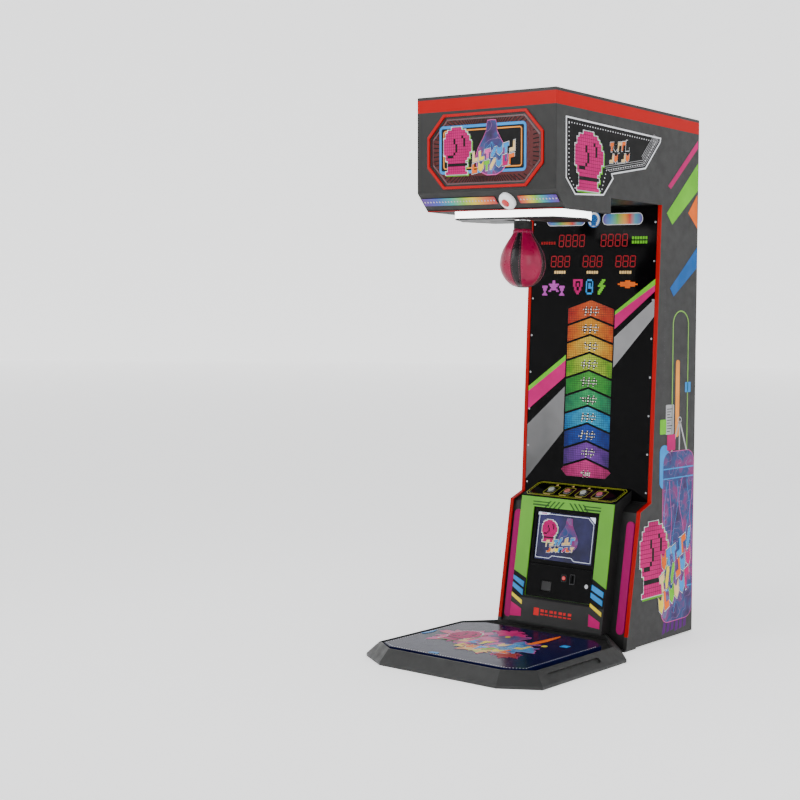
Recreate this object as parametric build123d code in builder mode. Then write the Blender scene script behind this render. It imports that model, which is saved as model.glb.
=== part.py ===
from build123d import *
import math
import os

# Boxing punch machine. Millimetres, +Z up, the player stands at -Y facing +Y.
# The origin is on the floor, in the middle of the machine's footprint.

# ---- overall sizes ----
overall_height = 2250.0
overall_depth = 1220.0
cabinet_width = 714.0
platform_width = 926.0
side_thickness = 18.0

# ---- head ----
head_depth = 958.0
head_height = 449.0
skirt_length = 340.0
skirt_height = 63.0
chamfer_height = 70.0
chamfer_depth = 57.0
cap_height = 13.0
band_height = 49.0
front_sheet = 4.0
band_thickness = 5.0

# ---- column ----
column_top_depth = 272.0
waist_depth = 322.0
waist_z = 610.0
knee_depth = 396.0
knee_z = 580.0
toe_depth = 484.0
edge_light_thickness = 4.0
edge_light_base_z = 60.0
column_recess = 2.0
column_sheet = 6.0
panel_seam = 1.0
lower_recess = 12.0
lower_sheet = 5.0

# ---- base ----
base_gap = 6.0
floor_z = 80.0
floor_thickness = 12.0
foot_radius = 22.0
foot_pad_height = 10.0
foot_stud_radius = 6.0
foot_inset = 50.0
wheel_radius = 32.0
wheel_width = 22.0
wheel_bore = 6.0
running_clearance = 0.05

# ---- rear ----
back_thickness = 12.0
back_recess = 12.0
door_width = 440.0
door_height = 860.0
door_base_z = 250.0
door_gap = 2.0
knuckle_radius = 5.0
pin_radius = 2.5
knuckle_length = 60.0

# ---- marquee ----
marquee_width = 596.0
marquee_height = 292.0
marquee_cut = 85.0
neon_width = 10.0
neon_height = 5.0
lens_thickness = 5.0
lens_lap = 8.0

# ---- chamfer lights and beacon ----
beacon_x = 97.0
beacon_radius = 36.0
beacon_lens_radius = 17.0
beacon_rise = 20.0
strip_height = 34.0
strip_gap = 22.0
strip_margin = 8.0
strip_rise = 3.0

# ---- bag station ----
plate_side_gap = 14.0
plate_length = 240.0
plate_cut = 70.0
plate_thickness = 6.0
plate_setback = 106.0
light_band_thickness = 5.0
light_band_height = 86.0
bag_radius = 90.0
bag_length = 234.0
bag_neck_radius = 35.0
collar_radius = 36.5
collar_height = 33.0
swing_clearance = 16.0
collar_clearance = 20.0
pivot_rise = 36.0
shaft_radius = 10.0
bush_thickness = 3.0
bush_length = 14.0
hub_radius = 24.0
hub_length = 70.0
arm_radius = 16.0
bracket_thickness = 6.0
bracket_depth = 60.0
bracket_cover = 34.0
crossbar_height = 30.0
sensor_radius = 22.0
sensor_length = 26.0
hook_thickness = 8.0
hook_pin_radius = 4.0
solenoid_length = 30.0
solenoid_radius = 13.0

# ---- displays ----
digit4_width = 166.0
digit4_height = 64.0
digit4_spread = 116.0
digit4_drop = 143.0
digit3_width = 130.0
digit3_height = 56.0
digit3_pitch = 178.0
digit3_drop = 234.0
tile_count = 10
tile_half_width = 125.0
tile_height = 61.0
tile_slope = 38.0
tile_top_drop = 401.0
tile_base_rise = 110.0
inlay_clearance = 0.3
display_depth = 14.0

# ---- console ----
console_side_gap = 86.0
console_projection = 45.0
console_base_z = 66.0
console_front_top_z = 611.0
console_back_top_z = 660.0
console_wall = 8.0
green_frame = 68.0
green_sheet = 4.0
recess_top_drop = 48.0
recess_height = 386.0
screen_width = 318.0
screen_height = 208.0
screen_drop = 18.0
screen_thickness = 24.0
top_sheet = 4.0
button_count = 4
button_pitch = 88.0
button_radius = 14.0
button_travel = 4.0
bezel_radius = 19.0
bezel_height = 3.0

# ---- coin door and cash box ----
coin_door_width = 336.0
coin_door_height = 140.0
coin_door_thickness = 8.0
slot_width = 5.0
slot_height = 32.0
slot_x = 70.0
reject_radius = 9.0
reject_travel = 4.0
return_width = 56.0
return_height = 44.0
return_x = -70.0
flap_thickness = 3.0
lock_radius = 9.0
cam_gap = 5.0
cam_length = 52.0
flap_pin_length = 4.0
mech_width = 60.0
mech_height = 90.0
mech_depth = 48.0
cup_depth = 40.0
cash_width = 230.0
cash_depth = 190.0
cash_height = 90.0
cash_wall = 3.0
cash_x = 55.0
cash_front_y = 128.0
runner_height = 6.0

# ---- rear equipment ----
fan_size = 120.0
fan_bore = 56.0
fan_hub = 20.0
fan_pin = 3.0
fan_depth = 26.0
blade_count = 7
inlet_x = 150.0
inlet_z = 165.0
inlet_width = 50.0
inlet_height = 70.0
inlet_depth = 34.0
socket_width = 27.0
socket_height = 20.0
rocker_width = 20.0
rocker_height = 26.0
rocker_depth = 10.0
rocker_pin = 1.5
supply_width = 110.0
supply_length = 200.0
supply_height = 60.0

# ---- platform ----
platform_height = 62.0
platform_lip = 12.0
platform_front_cut = 80.0
platform_front_run = 159.0
platform_rear_cut = 136.0
border_width = 50.0
border_front = 36.0
rim = 5.0
deck_z = 44.0
deck_thickness = 8.0
board_gap_side = 37.0
board_gap_front = 19.0
board_gap_rear = 132.0
board_rise = 4.0
board_front_cut = 70.0
board_cut_y = 36.0
board_rear_cut = 78.0
board_rear_cut_y = 58.0
foot_clearance = 2.0
tongue_width = 40.0
tongue_length = 70.0
shell_wall = 18.0
rib_pitch = 200.0
grip_length = 315.0
grip_width = 26.0
grip_depth = 9.0
grip_y = -312.0

# ---- worked out from the sizes above ----
half_width = cabinet_width / 2
inner_half = half_width - side_thickness
back_y = overall_depth / 2
front_y = -overall_depth / 2
head_front_y = back_y - head_depth
head_bottom_z = overall_height - head_height
underside_z = head_bottom_z + skirt_height
chamfer_top_z = head_bottom_z + chamfer_height
band_top_z = overall_height - cap_height
band_bottom_z = band_top_z - band_height
notch_y = head_front_y + skirt_length
column_top_y = back_y - column_top_depth
waist_y = back_y - waist_depth
knee_y = back_y - knee_depth
toe_y = back_y - toe_depth
column_lean = math.degrees(math.atan2(column_top_y - waist_y, underside_z - waist_z))
foot_lean = math.degrees(math.atan2(knee_y - toe_y, knee_z - base_gap))
back_face_y = back_y - back_recess
back_inner_y = back_face_y - back_thickness
fan_x = -150.0
fan_z = door_base_z + door_height + 160.0
socket_z = inlet_z - 16.0
rocker_z = inlet_z + 17.0
rocker_y = back_face_y + 1.0
cash_z = floor_z + floor_thickness + runner_height
supply_x = -200.0
supply_y = 460.0


def on_line(z, low, high):
    """The y of the straight line through two (y, z) points, at a height z."""
    share = (z - low[1]) / (high[1] - low[1])
    return low[0] + share * (high[0] - low[0])


def inset_chain(chain, distance):
    """A rising (y, z) chain moved inwards by a distance, its ends kept at their own heights."""
    lines = []
    for low, high in zip(chain[:-1], chain[1:]):
        run = math.hypot(high[0] - low[0], high[1] - low[1])
        shift_y = distance * (high[1] - low[1]) / run
        shift_z = -distance * (high[0] - low[0]) / run
        lines.append(((low[0] + shift_y, low[1] + shift_z), (high[0] + shift_y, high[1] + shift_z)))
    moved = [(on_line(chain[0][1], *lines[0]), chain[0][1])]
    for first, second in zip(lines[:-1], lines[1:]):
        moved.append(crossing(first, second))
    moved.append((on_line(chain[-1][1], *lines[-1]), chain[-1][1]))
    return moved


def crossing(first, second):
    """The point where two lines, each given by two (y, z) points, cross."""
    (y1, z1), (y2, z2) = first
    (y3, z3), (y4, z4) = second
    below = (y1 - y2) * (z3 - z4) - (z1 - z2) * (y3 - y4)
    one = y1 * z2 - z1 * y2
    two = y3 * z4 - z3 * y4
    return ((one * (y3 - y4) - (y1 - y2) * two) / below, (one * (z3 - z4) - (z1 - z2) * two) / below)


def leaning_plane(y, z, lean):
    """A plane that faces -Y and leans back by an angle in degrees; its own y runs up it."""
    rake = math.radians(lean)
    return Plane(origin=(0, y, z), x_dir=(1, 0, 0), z_dir=(0, -math.cos(rake), math.sin(rake)))


def octagon(half_x, half_y, cut):
    """The corners of a rectangle about the origin with its four corners cut at 45 degrees."""
    return [
        (half_x, half_y - cut), (half_x - cut, half_y), (cut - half_x, half_y), (-half_x, half_y - cut),
        (-half_x, cut - half_y), (cut - half_x, -half_y), (half_x - cut, -half_y), (half_x, cut - half_y),
    ]


def finish(piece, name):
    """Label a finished sub-part and write its STEP file."""
    piece.part.label = name
    export_step(piece.part, f"parts/{name}.step")


os.makedirs("parts", exist_ok=True)

toe = (toe_y, base_gap)
knee = (knee_y, knee_z)
waist = (waist_y, waist_z)
column_top = (column_top_y, underside_z)
edge_foot = (on_line(edge_light_base_z, toe, knee), edge_light_base_z)
edge_chain = [edge_foot, knee, waist, column_top]
edge_inner = inset_chain(edge_chain, edge_light_thickness)
head_chain = [
    (head_front_y + chamfer_depth, head_bottom_z),
    (head_front_y, chamfer_top_z),
    (head_front_y, band_bottom_z),
]
head_inner = inset_chain(head_chain, front_sheet)
column_face = leaning_plane(waist_y, waist_z, column_lean).offset(-column_recess)
column_run = (underside_z - waist_z) / math.cos(math.radians(column_lean))
chamfer_lean = -math.degrees(math.atan2(chamfer_depth, chamfer_height))
chamfer_run = math.hypot(chamfer_depth, chamfer_height)
chamfer_face = leaning_plane(head_front_y + chamfer_depth, head_bottom_z, chamfer_lean)

# ======== cabinet shell ========
side_profile = (
    [(back_y, base_gap), toe]
    + [edge_foot]
    + edge_inner
    + [(notch_y, underside_z), (notch_y, head_bottom_z)]
    + head_inner
    + [(back_y, band_bottom_z)]
)


def side_panel(x_start):
    """One side panel, from x_start towards +X by its thickness."""
    with BuildPart() as panel:
        with BuildSketch(Plane.YZ.offset(x_start)):
            Polygon(*side_profile, align=None)
        extrude(amount=side_thickness)
    return panel


side_panel_left = side_panel(-half_width)
finish(side_panel_left, "side_panel_left")

side_panel_right = side_panel(inner_half)
finish(side_panel_right, "side_panel_right")

with BuildPart() as edge_lights:
    for x_start in (-half_width, inner_half):
        with BuildSketch(Plane.YZ.offset(x_start)):
            Polygon(*(edge_chain + edge_inner[::-1]), align=None)
        extrude(amount=side_thickness)
finish(edge_lights, "edge_lights")

floor_front_y = inset_chain([toe, knee], lower_recess + lower_sheet)[0][0]
floor_front_y = on_line(floor_z + floor_thickness, (floor_front_y, base_gap), knee) + console_wall
wheel_x = inner_half - 60.0
wheel_y = back_inner_y - wheel_radius - 22.0
wheel_z = base_gap + wheel_radius
foot_x = inner_half - foot_inset
foot_front_y = floor_front_y + foot_inset
foot_back_y = wheel_y - wheel_radius - foot_inset
feet_places = [(side * foot_x, y) for side in (-1, 1) for y in (foot_front_y, foot_back_y)]

with BuildPart() as floor_pan:
    with BuildSketch(Plane.XY.offset(floor_z)):
        with Locations((0, (floor_front_y + back_inner_y) / 2)):
            Rectangle(2 * inner_half, back_inner_y - floor_front_y)
    extrude(amount=floor_thickness)
    with BuildSketch(Plane.XY.offset(floor_z)):
        with Locations(*feet_places):
            Circle(foot_stud_radius + 0.5)
    extrude(amount=floor_thickness, mode=Mode.SUBTRACT)
    with BuildSketch(Plane.XY.offset(floor_z + floor_thickness)):
        with Locations((cash_x - 80.0, floor_front_y + 70.0), (cash_x + 80.0, floor_front_y + 70.0)):
            Rectangle(20.0, 140.0)
    extrude(amount=runner_height)
    for side in (-1, 1):
        for shift in (-1, 1):
            cheek_x = side * wheel_x + shift * (wheel_width / 2 + 4.5)
            with BuildSketch(Plane.YZ.offset(cheek_x - 1.5)):
                with Locations((wheel_y, (wheel_z + floor_z) / 2 - 6.0)):
                    Rectangle(30.0, floor_z - wheel_z + 12.0)
            extrude(amount=3.0)
        with BuildSketch(Plane.YZ.offset(side * wheel_x - wheel_width / 2 - 4.5)):
            with Locations((wheel_y, wheel_z)):
                Circle(wheel_bore - running_clearance)
        extrude(amount=wheel_width + 9.0)
finish(floor_pan, "floor_pan")

with BuildPart() as levelling_feet:
    with BuildSketch():
        with Locations(*feet_places):
            Circle(foot_radius)
    extrude(amount=foot_pad_height)
    with BuildSketch(Plane.XY.offset(foot_pad_height)):
        with Locations(*feet_places):
            Circle(foot_stud_radius)
    extrude(amount=floor_z + floor_thickness + 20.0 - foot_pad_height)
    with BuildSketch(Plane.XY.offset(floor_z - 8.0)):
        with Locations(*feet_places):
            RegularPolygon(foot_stud_radius + 5.0, 6)
    extrude(amount=8.0)
finish(levelling_feet, "levelling_feet")


def transport_wheel(x_centre):
    """One rear wheel on its stub axle, with a rounded tread."""
    with BuildPart() as wheel:
        with BuildSketch(Plane.YZ.offset(x_centre - wheel_width / 2)):
            with Locations((wheel_y, wheel_z)):
                Circle(wheel_radius)
                Circle(wheel_bore, mode=Mode.SUBTRACT)
        extrude(amount=wheel_width)
        fillet(wheel.edges().filter_by(GeomType.CIRCLE).group_by(SortBy.RADIUS)[-1], 4.0)
    return wheel


transport_wheel_left = transport_wheel(-wheel_x)
finish(transport_wheel_left, "transport_wheel_left")

transport_wheel_right = transport_wheel(wheel_x)
finish(transport_wheel_right, "transport_wheel_right")

door_top_z = door_base_z + door_height
hinge_x = -door_width / 2 - door_gap / 2
hinge_y = back_face_y + knuckle_radius + 1.0
hinge_heights = [door_base_z + 120.0, door_top_z - 120.0]
vent_height = 8.0
vent_width = 120.0

with BuildPart() as back_panel:
    with BuildSketch(Plane.XZ.offset(-back_inner_y)):
        with Locations((0, (floor_z + band_bottom_z) / 2)):
            Rectangle(2 * inner_half, band_bottom_z - floor_z)
        with Locations((0, (door_base_z + door_top_z) / 2)):
            Rectangle(door_width + 2 * door_gap, door_height + 2 * door_gap, mode=Mode.SUBTRACT)
        with Locations((fan_x, fan_z), (-fan_x, fan_z)):
            with GridLocations(0, 22.0, 1, 5):
                SlotOverall(vent_width, vent_height, mode=Mode.SUBTRACT)
        with Locations((inlet_x, inlet_z)):
            Rectangle(inlet_width, inlet_height, mode=Mode.SUBTRACT)
    extrude(amount=-back_thickness)
    for height in hinge_heights:
        with BuildSketch(Plane.XZ.offset(-back_face_y)):
            with Locations((hinge_x - 16.0, height)):
                Rectangle(24.0, knuckle_length)
        extrude(amount=-2.0)
        for part_of in (-1, 1):
            with BuildSketch(Plane.XY.offset(height + part_of * knuckle_length / 3 - knuckle_length / 6)):
                with Locations((hinge_x, hinge_y)):
                    Circle(knuckle_radius)
                with Locations((hinge_x - 5.0, back_face_y + 1.0)):
                    Rectangle(10.0, 2.0)
            extrude(amount=knuckle_length / 3)
        with BuildSketch(Plane.XY.offset(height - knuckle_length / 2)):
            with Locations((hinge_x, hinge_y)):
                Circle(pin_radius)
        extrude(amount=knuckle_length)
finish(back_panel, "back_panel")

service_lock_x = door_width / 2 - 28.0
service_lock_z = (door_base_z + door_top_z) / 2

with BuildPart() as service_door:
    with BuildSketch(Plane.XZ.offset(-back_inner_y)):
        with Locations((0, (door_base_z + door_top_z) / 2)):
            Rectangle(door_width, door_height)
        with Locations((service_lock_x, service_lock_z)):
            Circle(lock_radius + running_clearance, mode=Mode.SUBTRACT)
        with Locations((0, door_top_z - 120.0), (0, door_base_z + 120.0)):
            with GridLocations(0, 20.0, 1, 6):
                SlotOverall(200.0, vent_height, mode=Mode.SUBTRACT)
    extrude(amount=-back_thickness)
    for height in hinge_heights:
        with BuildSketch(Plane.XZ.offset(-back_face_y)):
            with Locations((hinge_x + 17.0, height)):
                Rectangle(24.0, knuckle_length)
        extrude(amount=-2.0)
        with BuildSketch(Plane.XY.offset(height - knuckle_length / 6 + 0.5)):
            with Locations((hinge_x, hinge_y)):
                Circle(knuckle_radius)
            with Locations((hinge_x + 5.0, back_face_y + 1.0)):
                Rectangle(10.0, 2.0)
            with Locations((hinge_x, hinge_y)):
                Circle(pin_radius + running_clearance, mode=Mode.SUBTRACT)
        extrude(amount=knuckle_length / 3 - 1.0)
finish(service_door, "service_door")

with BuildPart() as service_door_lock:
    with BuildSketch(Plane.XZ.offset(-back_inner_y + 10.0)):
        with Locations((service_lock_x, service_lock_z)):
            Circle(lock_radius)
    extrude(amount=-(back_thickness + 10.0))
    with BuildSketch(Plane.XZ.offset(-back_face_y)):
        with Locations((service_lock_x, service_lock_z)):
            Circle(lock_radius + 3.0)
            Rectangle(1.6, 8.0, mode=Mode.SUBTRACT)
    extrude(amount=-3.0)
    with BuildSketch(Plane.XZ.offset(-back_inner_y + 7.0)):
        with Locations((service_lock_x, service_lock_z + 17.0)):
            Rectangle(14.0, 52.0)
    extrude(amount=-3.0)
finish(service_door_lock, "service_door_lock")

with BuildPart() as lower_front_panel:
    lower_chain = inset_chain([toe, knee, waist, column_top], lower_recess)
    lower_back = inset_chain([toe, knee, waist, column_top], lower_recess + lower_sheet)
    waist_share = on_line(waist_z, lower_chain[2], lower_chain[3])
    waist_back = on_line(waist_z, lower_back[2], lower_back[3])
    with BuildSketch(Plane.YZ):
        Polygon(
            lower_chain[0], lower_chain[1], lower_chain[2], (waist_share, waist_z),
            (waist_back, waist_z), lower_back[2], lower_back[1], lower_back[0],
            align=None,
        )
    extrude(amount=inner_half, both=True)
    console_half = inner_half - console_side_gap
    with BuildSketch(Plane.XZ):
        with Locations((0, (console_base_z + knee_z) / 2)):
            Rectangle(2 * (console_half - 30.0), knee_z - console_base_z - 60.0)
    extrude(amount=-back_y, mode=Mode.SUBTRACT)
finish(lower_front_panel, "lower_front_panel")

lower_face = leaning_plane(toe_y, base_gap, foot_lean).offset(-lower_recess)
magenta_width = 40.0
magenta_length = (knee_z - edge_light_base_z - 50.0) / math.cos(math.radians(foot_lean))
magenta_centre = (edge_light_base_z - base_gap + 6.0) / math.cos(math.radians(foot_lean)) + magenta_length / 2
magenta_x = console_half + console_side_gap * 0.65

with BuildPart() as magenta_lights:
    with BuildSketch(lower_face):
        with Locations((-magenta_x, magenta_centre), (magenta_x, magenta_centre)):
            RectangleRounded(magenta_width, magenta_length, magenta_width / 2 - 0.5)
    extrude(amount=6.0)
finish(magenta_lights, "magenta_lights")

# ======== head ========
with BuildPart() as head_front_panel:
    with BuildSketch(Plane.YZ):
        Polygon(head_chain[1], head_chain[2], head_inner[2], head_inner[1], align=None)
    extrude(amount=half_width, both=True)
    marquee_z = (chamfer_top_z + band_bottom_z) / 2
    with BuildSketch(Plane.XZ.offset(-head_front_y)):
        with Locations((0, marquee_z)):
            Polygon(*octagon(marquee_width / 2 - neon_width - lens_lap,
                             marquee_height / 2 - neon_width - lens_lap, marquee_cut - lens_lap),
                    align=None)
    extrude(amount=-front_sheet, mode=Mode.SUBTRACT)
finish(head_front_panel, "head_front_panel")

lens_half_x = marquee_width / 2 - neon_width
lens_half_z = marquee_height / 2 - neon_width

with BuildPart() as marquee_lens:
    with BuildSketch(Plane.XZ.offset(-(head_front_y + front_sheet))):
        with Locations((0, marquee_z)):
            Polygon(*octagon(lens_half_x, lens_half_z, marquee_cut - 4.0), align=None)
    extrude(amount=-lens_thickness)
finish(marquee_lens, "marquee_lens")

with BuildPart() as marquee_neon_frame:
    with BuildSketch(Plane.XZ.offset(-head_front_y)):
        with Locations((0, marquee_z)):
            Polygon(*octagon(marquee_width / 2, marquee_height / 2, marquee_cut), align=None)
            Polygon(*octagon(lens_half_x, lens_half_z, marquee_cut - 4.0), align=None, mode=Mode.SUBTRACT)
    extrude(amount=neon_height)
finish(marquee_neon_frame, "marquee_neon_frame")

light_box_depth = 60.0
with BuildPart() as marquee_light_box:
    with BuildSketch(Plane.XZ.offset(-(head_front_y + front_sheet + lens_thickness))):
        with Locations((0, marquee_z)):
            Polygon(*octagon(lens_half_x, lens_half_z, marquee_cut - 4.0), align=None)
    extrude(amount=-light_box_depth)
    with BuildSketch(Plane.XZ.offset(-(head_front_y + front_sheet + lens_thickness))):
        with Locations((0, marquee_z)):
            Polygon(*octagon(lens_half_x - 4.0, lens_half_z - 4.0, marquee_cut - 6.0), align=None)
    extrude(amount=-(light_box_depth - 4.0), mode=Mode.SUBTRACT)
finish(marquee_light_box, "marquee_light_box")

beacon_s = chamfer_run / 2
with BuildPart() as chamfer_panel:
    with BuildSketch(Plane.YZ):
        Polygon(head_chain[0], head_chain[1], head_inner[1], head_inner[0], align=None)
    extrude(amount=half_width, both=True)
    with BuildSketch(chamfer_face):
        with Locations((beacon_x, beacon_s)):
            Circle(beacon_radius - 6.0)
    extrude(amount=-front_sheet, mode=Mode.SUBTRACT)
finish(chamfer_panel, "chamfer_panel")

strip_right = beacon_x + beacon_radius + strip_gap
strip_left = beacon_x - beacon_radius - strip_gap
strip_end = half_width - strip_margin
strip_s = chamfer_run * 0.54
with BuildPart() as chamfer_lights:
    with BuildSketch(chamfer_face):
        with Locations(((strip_right + strip_end) / 2, strip_s)):
            SlotOverall(strip_end - strip_right, strip_height)
        with Locations(((strip_left - strip_end) / 2, strip_s)):
            SlotOverall(strip_end + strip_left, strip_height)
        with Locations((0, 5.0)):
            Rectangle(2 * (half_width - 4.0), 5.0)
    extrude(amount=strip_rise)
finish(chamfer_lights, "chamfer_lights")

beacon_plane = Plane(
    origin=chamfer_face.from_local_coords((beacon_x, beacon_s, 0)),
    x_dir=chamfer_face.x_dir,
    z_dir=chamfer_face.z_dir,
)
beacon_out = Axis(beacon_plane.origin, beacon_plane.z_dir)
with BuildPart() as beacon_ring:
    with BuildSketch(beacon_plane):
        Circle(beacon_radius)
    extrude(amount=beacon_rise)
    fillet(beacon_ring.faces().sort_by(beacon_out)[-1].edges(), beacon_rise * 0.7)
    with BuildSketch(beacon_plane.offset(-front_sheet)):
        Circle(beacon_radius - 6.5)
    extrude(amount=front_sheet)
    with BuildSketch(beacon_plane.offset(beacon_rise)):
        Circle(beacon_lens_radius)
    extrude(amount=-beacon_rise, mode=Mode.SUBTRACT)
finish(beacon_ring, "beacon_ring")

with BuildPart() as beacon_lens:
    with BuildSketch(beacon_plane):
        Circle(beacon_lens_radius - inlay_clearance)
    extrude(amount=beacon_rise + 4.0)
    fillet(beacon_lens.faces().sort_by(beacon_out)[-1].edges(), 3.5)
finish(beacon_lens, "beacon_lens")

with BuildPart() as top_cap:
    rim_y = (head_front_y + band_thickness + back_y) / 2
    rim_depth = back_y - head_front_y - band_thickness
    with BuildSketch(Plane.XY.offset(band_top_z)):
        with Locations((0, (head_front_y + back_y) / 2)):
            Rectangle(cabinet_width, head_depth)
    extrude(amount=cap_height)
    fillet(top_cap.edges().group_by(Axis.Z)[-1], 4.0)
    with BuildSketch(Plane.XY.offset(band_bottom_z)):
        with Locations((0, rim_y)):
            Rectangle(cabinet_width - 2 * band_thickness, rim_depth)
            Rectangle(cabinet_width - 2 * band_thickness - 24.0, rim_depth - 24.0, mode=Mode.SUBTRACT)
    extrude(amount=band_height)
finish(top_cap, "top_cap")

with BuildPart() as header_light_band:
    with BuildSketch(Plane.XY.offset(band_bottom_z)):
        with Locations((0, (head_front_y + back_y) / 2)):
            Rectangle(cabinet_width, head_depth)
        with Locations((0, rim_y)):
            Rectangle(cabinet_width - 2 * band_thickness, rim_depth, mode=Mode.SUBTRACT)
    extrude(amount=band_height)
finish(header_light_band, "header_light_band")

# ======== bag station ========
bag_y = head_front_y + plate_setback + plate_length / 2
pivot_z = underside_z + pivot_rise
plate_top_z = underside_z - light_band_height
plate_bottom_z = plate_top_z - plate_thickness
well_half = bag_radius + swing_clearance
slot_half = collar_radius + collar_clearance
plate_half = inner_half - plate_side_gap
bag_top_z = plate_bottom_z - collar_height
bag_reach = pivot_z - bag_top_z + bag_length
well_back_y = bag_y + bag_reach + swing_clearance
bag_centre = Plane(origin=(0, bag_y, 0), x_dir=(1, 0, 0), z_dir=(0, -1, 0))
bag_axis = Axis((0, bag_y, 0), (0, 0, 1))
half_length = plate_length / 2
plate_corner = plate_half - plate_cut
plate_outline = [
    (plate_half, bag_y), (plate_corner, bag_y + half_length), (-plate_corner, bag_y + half_length),
    (-plate_half, bag_y), (-plate_corner, bag_y - half_length), (plate_corner, bag_y - half_length),
]

with BuildPart() as head_underside:
    under_front_y = on_line(underside_z, head_inner[0], head_inner[1])
    with BuildSketch(Plane.XY.offset(underside_z)):
        with Locations((0, (under_front_y + column_top_y) / 2 + 4.0)):
            Rectangle(2 * inner_half, column_top_y - under_front_y - 8.0)
        with Locations((0, (bag_y - well_half + well_back_y) / 2)):
            Rectangle(2 * well_half, well_back_y - bag_y + well_half, mode=Mode.SUBTRACT)
    extrude(amount=front_sheet)
finish(head_underside, "head_underside")

with BuildPart() as bag_light_band:
    with BuildSketch(Plane.XY.offset(plate_top_z)):
        Polygon(*plate_outline, align=None)
        offset(amount=-light_band_thickness, mode=Mode.SUBTRACT)
        with Locations((0, bag_y + plate_length)):
            Rectangle(2 * well_half, 2 * plate_length, mode=Mode.SUBTRACT)
    extrude(amount=light_band_height)
finish(bag_light_band, "bag_light_band")

with BuildPart() as bag_plate:
    with BuildSketch(Plane.XY.offset(plate_bottom_z)):
        Polygon(*plate_outline, align=None)
        with Locations((0, bag_y - slot_half + plate_length)):
            Rectangle(2 * slot_half, 2 * plate_length, mode=Mode.SUBTRACT)
    extrude(amount=plate_thickness)
    fillet(bag_plate.edges().filter_by(Axis.Z).group_by(Axis.Y)[0], 6.0)
finish(bag_plate, "bag_plate")

cheek_x = well_half + 4.0
cheek_base_z = underside_z + front_sheet
cheek_top_z = pivot_z + bracket_cover + crossbar_height
hook_y = bag_y + bracket_depth / 2 + solenoid_radius + 1.0
hook_pin_z = cheek_top_z - 14.0
hook_low_z = pivot_z + arm_radius + 6.0

with BuildPart() as pivot_bracket:
    for x_start in (-cheek_x - bracket_thickness, cheek_x):
        with BuildSketch(Plane.YZ.offset(x_start)):
            with Locations((bag_y, (cheek_base_z + cheek_top_z) / 2)):
                Rectangle(bracket_depth, cheek_top_z - cheek_base_z)
        extrude(amount=bracket_thickness)
    for x_start in (-cheek_x - bush_length + 4.0, cheek_x - 4.0):
        with BuildSketch(Plane.YZ.offset(x_start)):
            with Locations((bag_y, pivot_z)):
                Circle(shaft_radius + bush_thickness)
        extrude(amount=bush_length)
    with BuildSketch(Plane.YZ.offset(-cheek_x - bush_length)):
        with Locations((bag_y, pivot_z)):
            Circle(shaft_radius + running_clearance)
    extrude(amount=2 * (cheek_x + bush_length), mode=Mode.SUBTRACT)
    for side in (-1, 1):
        with BuildSketch(Plane.XY.offset(cheek_base_z)):
            with Locations((side * (cheek_x + bracket_thickness + 15.0), bag_y)):
                Rectangle(30.0, bracket_depth)
        extrude(amount=4.0)
    with BuildSketch(Plane.XY.offset(cheek_top_z - 4.0)):
        with Locations((0, bag_y)):
            Rectangle(2 * cheek_x, bracket_depth)
    extrude(amount=4.0)
    for side in (-1, 1):
        ear_x = side * (hook_thickness / 2 + 3.5) - 2.5
        with BuildSketch(Plane.YZ.offset(ear_x)):
            with Locations((hook_y - 10.0, cheek_top_z - 13.0)):
                Rectangle(34.0, 18.0)
        extrude(amount=5.0)
    with BuildSketch(Plane.YZ.offset(-hook_thickness / 2 - 8.0)):
        with Locations((hook_y, hook_pin_z)):
            Circle(hook_pin_radius + running_clearance)
    extrude(amount=hook_thickness + 16.0, mode=Mode.SUBTRACT)
finish(pivot_bracket, "pivot_bracket")

shaft_end = cheek_x + bush_length + 8.0
with BuildPart() as pivot_shaft:
    with BuildSketch(Plane.YZ.offset(-shaft_end)):
        with Locations((bag_y, pivot_z)):
            Circle(shaft_radius)
    extrude(amount=2 * shaft_end)
    chamfer(pivot_shaft.edges().filter_by(GeomType.CIRCLE), 1.0)
    with BuildSketch(Plane.YZ.offset(-hub_length / 2 - 4.0)):
        with Locations((bag_y, pivot_z)):
            Circle(shaft_radius + 5.0)
    extrude(amount=4.0)
    with BuildSketch(Plane.YZ.offset(hub_length / 2)):
        with Locations((bag_y, pivot_z)):
            Circle(shaft_radius + 5.0)
    extrude(amount=4.0)
finish(pivot_shaft, "pivot_shaft")

striker_reach = 44.0
striker_z = pivot_z - hook_y + bag_y - 22.0
with BuildPart() as bag_arm:
    with BuildSketch(Plane.XY.offset(plate_bottom_z)):
        with Locations((0, bag_y)):
            Circle(arm_radius)
    extrude(amount=pivot_z - plate_bottom_z)
    with BuildSketch(Plane.YZ.offset(-hub_length / 2)):
        with Locations((bag_y, pivot_z)):
            Circle(hub_radius)
    extrude(amount=hub_length)
    with BuildSketch(Plane.YZ.offset(-hub_length / 2)):
        with Locations((bag_y, pivot_z)):
            Circle(shaft_radius)
    extrude(amount=hub_length, mode=Mode.SUBTRACT)
    for side in (-1, 1):
        with BuildSketch(Plane.YZ.offset(side * (hook_thickness / 2 + 3.5) - 1.5)):
            with Locations((bag_y + striker_reach / 2 + 3.0, striker_z)):
                Rectangle(striker_reach, 10.0)
        extrude(amount=3.0)
    with BuildSketch(Plane.YZ.offset(-hook_thickness / 2 - 4.0)):
        with Locations((bag_y + striker_reach - 1.0, striker_z)):
            Circle(3.0)
    extrude(amount=hook_thickness + 8.0)
finish(bag_arm, "bag_arm")

with BuildPart() as bag_collar:
    with BuildSketch(Plane.XY.offset(bag_top_z)):
        with Locations((0, bag_y)):
            Circle(collar_radius)
    extrude(amount=collar_height)
    fillet(bag_collar.edges().group_by(Axis.Z)[-1], 3.0)
finish(bag_collar, "bag_collar")

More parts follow.
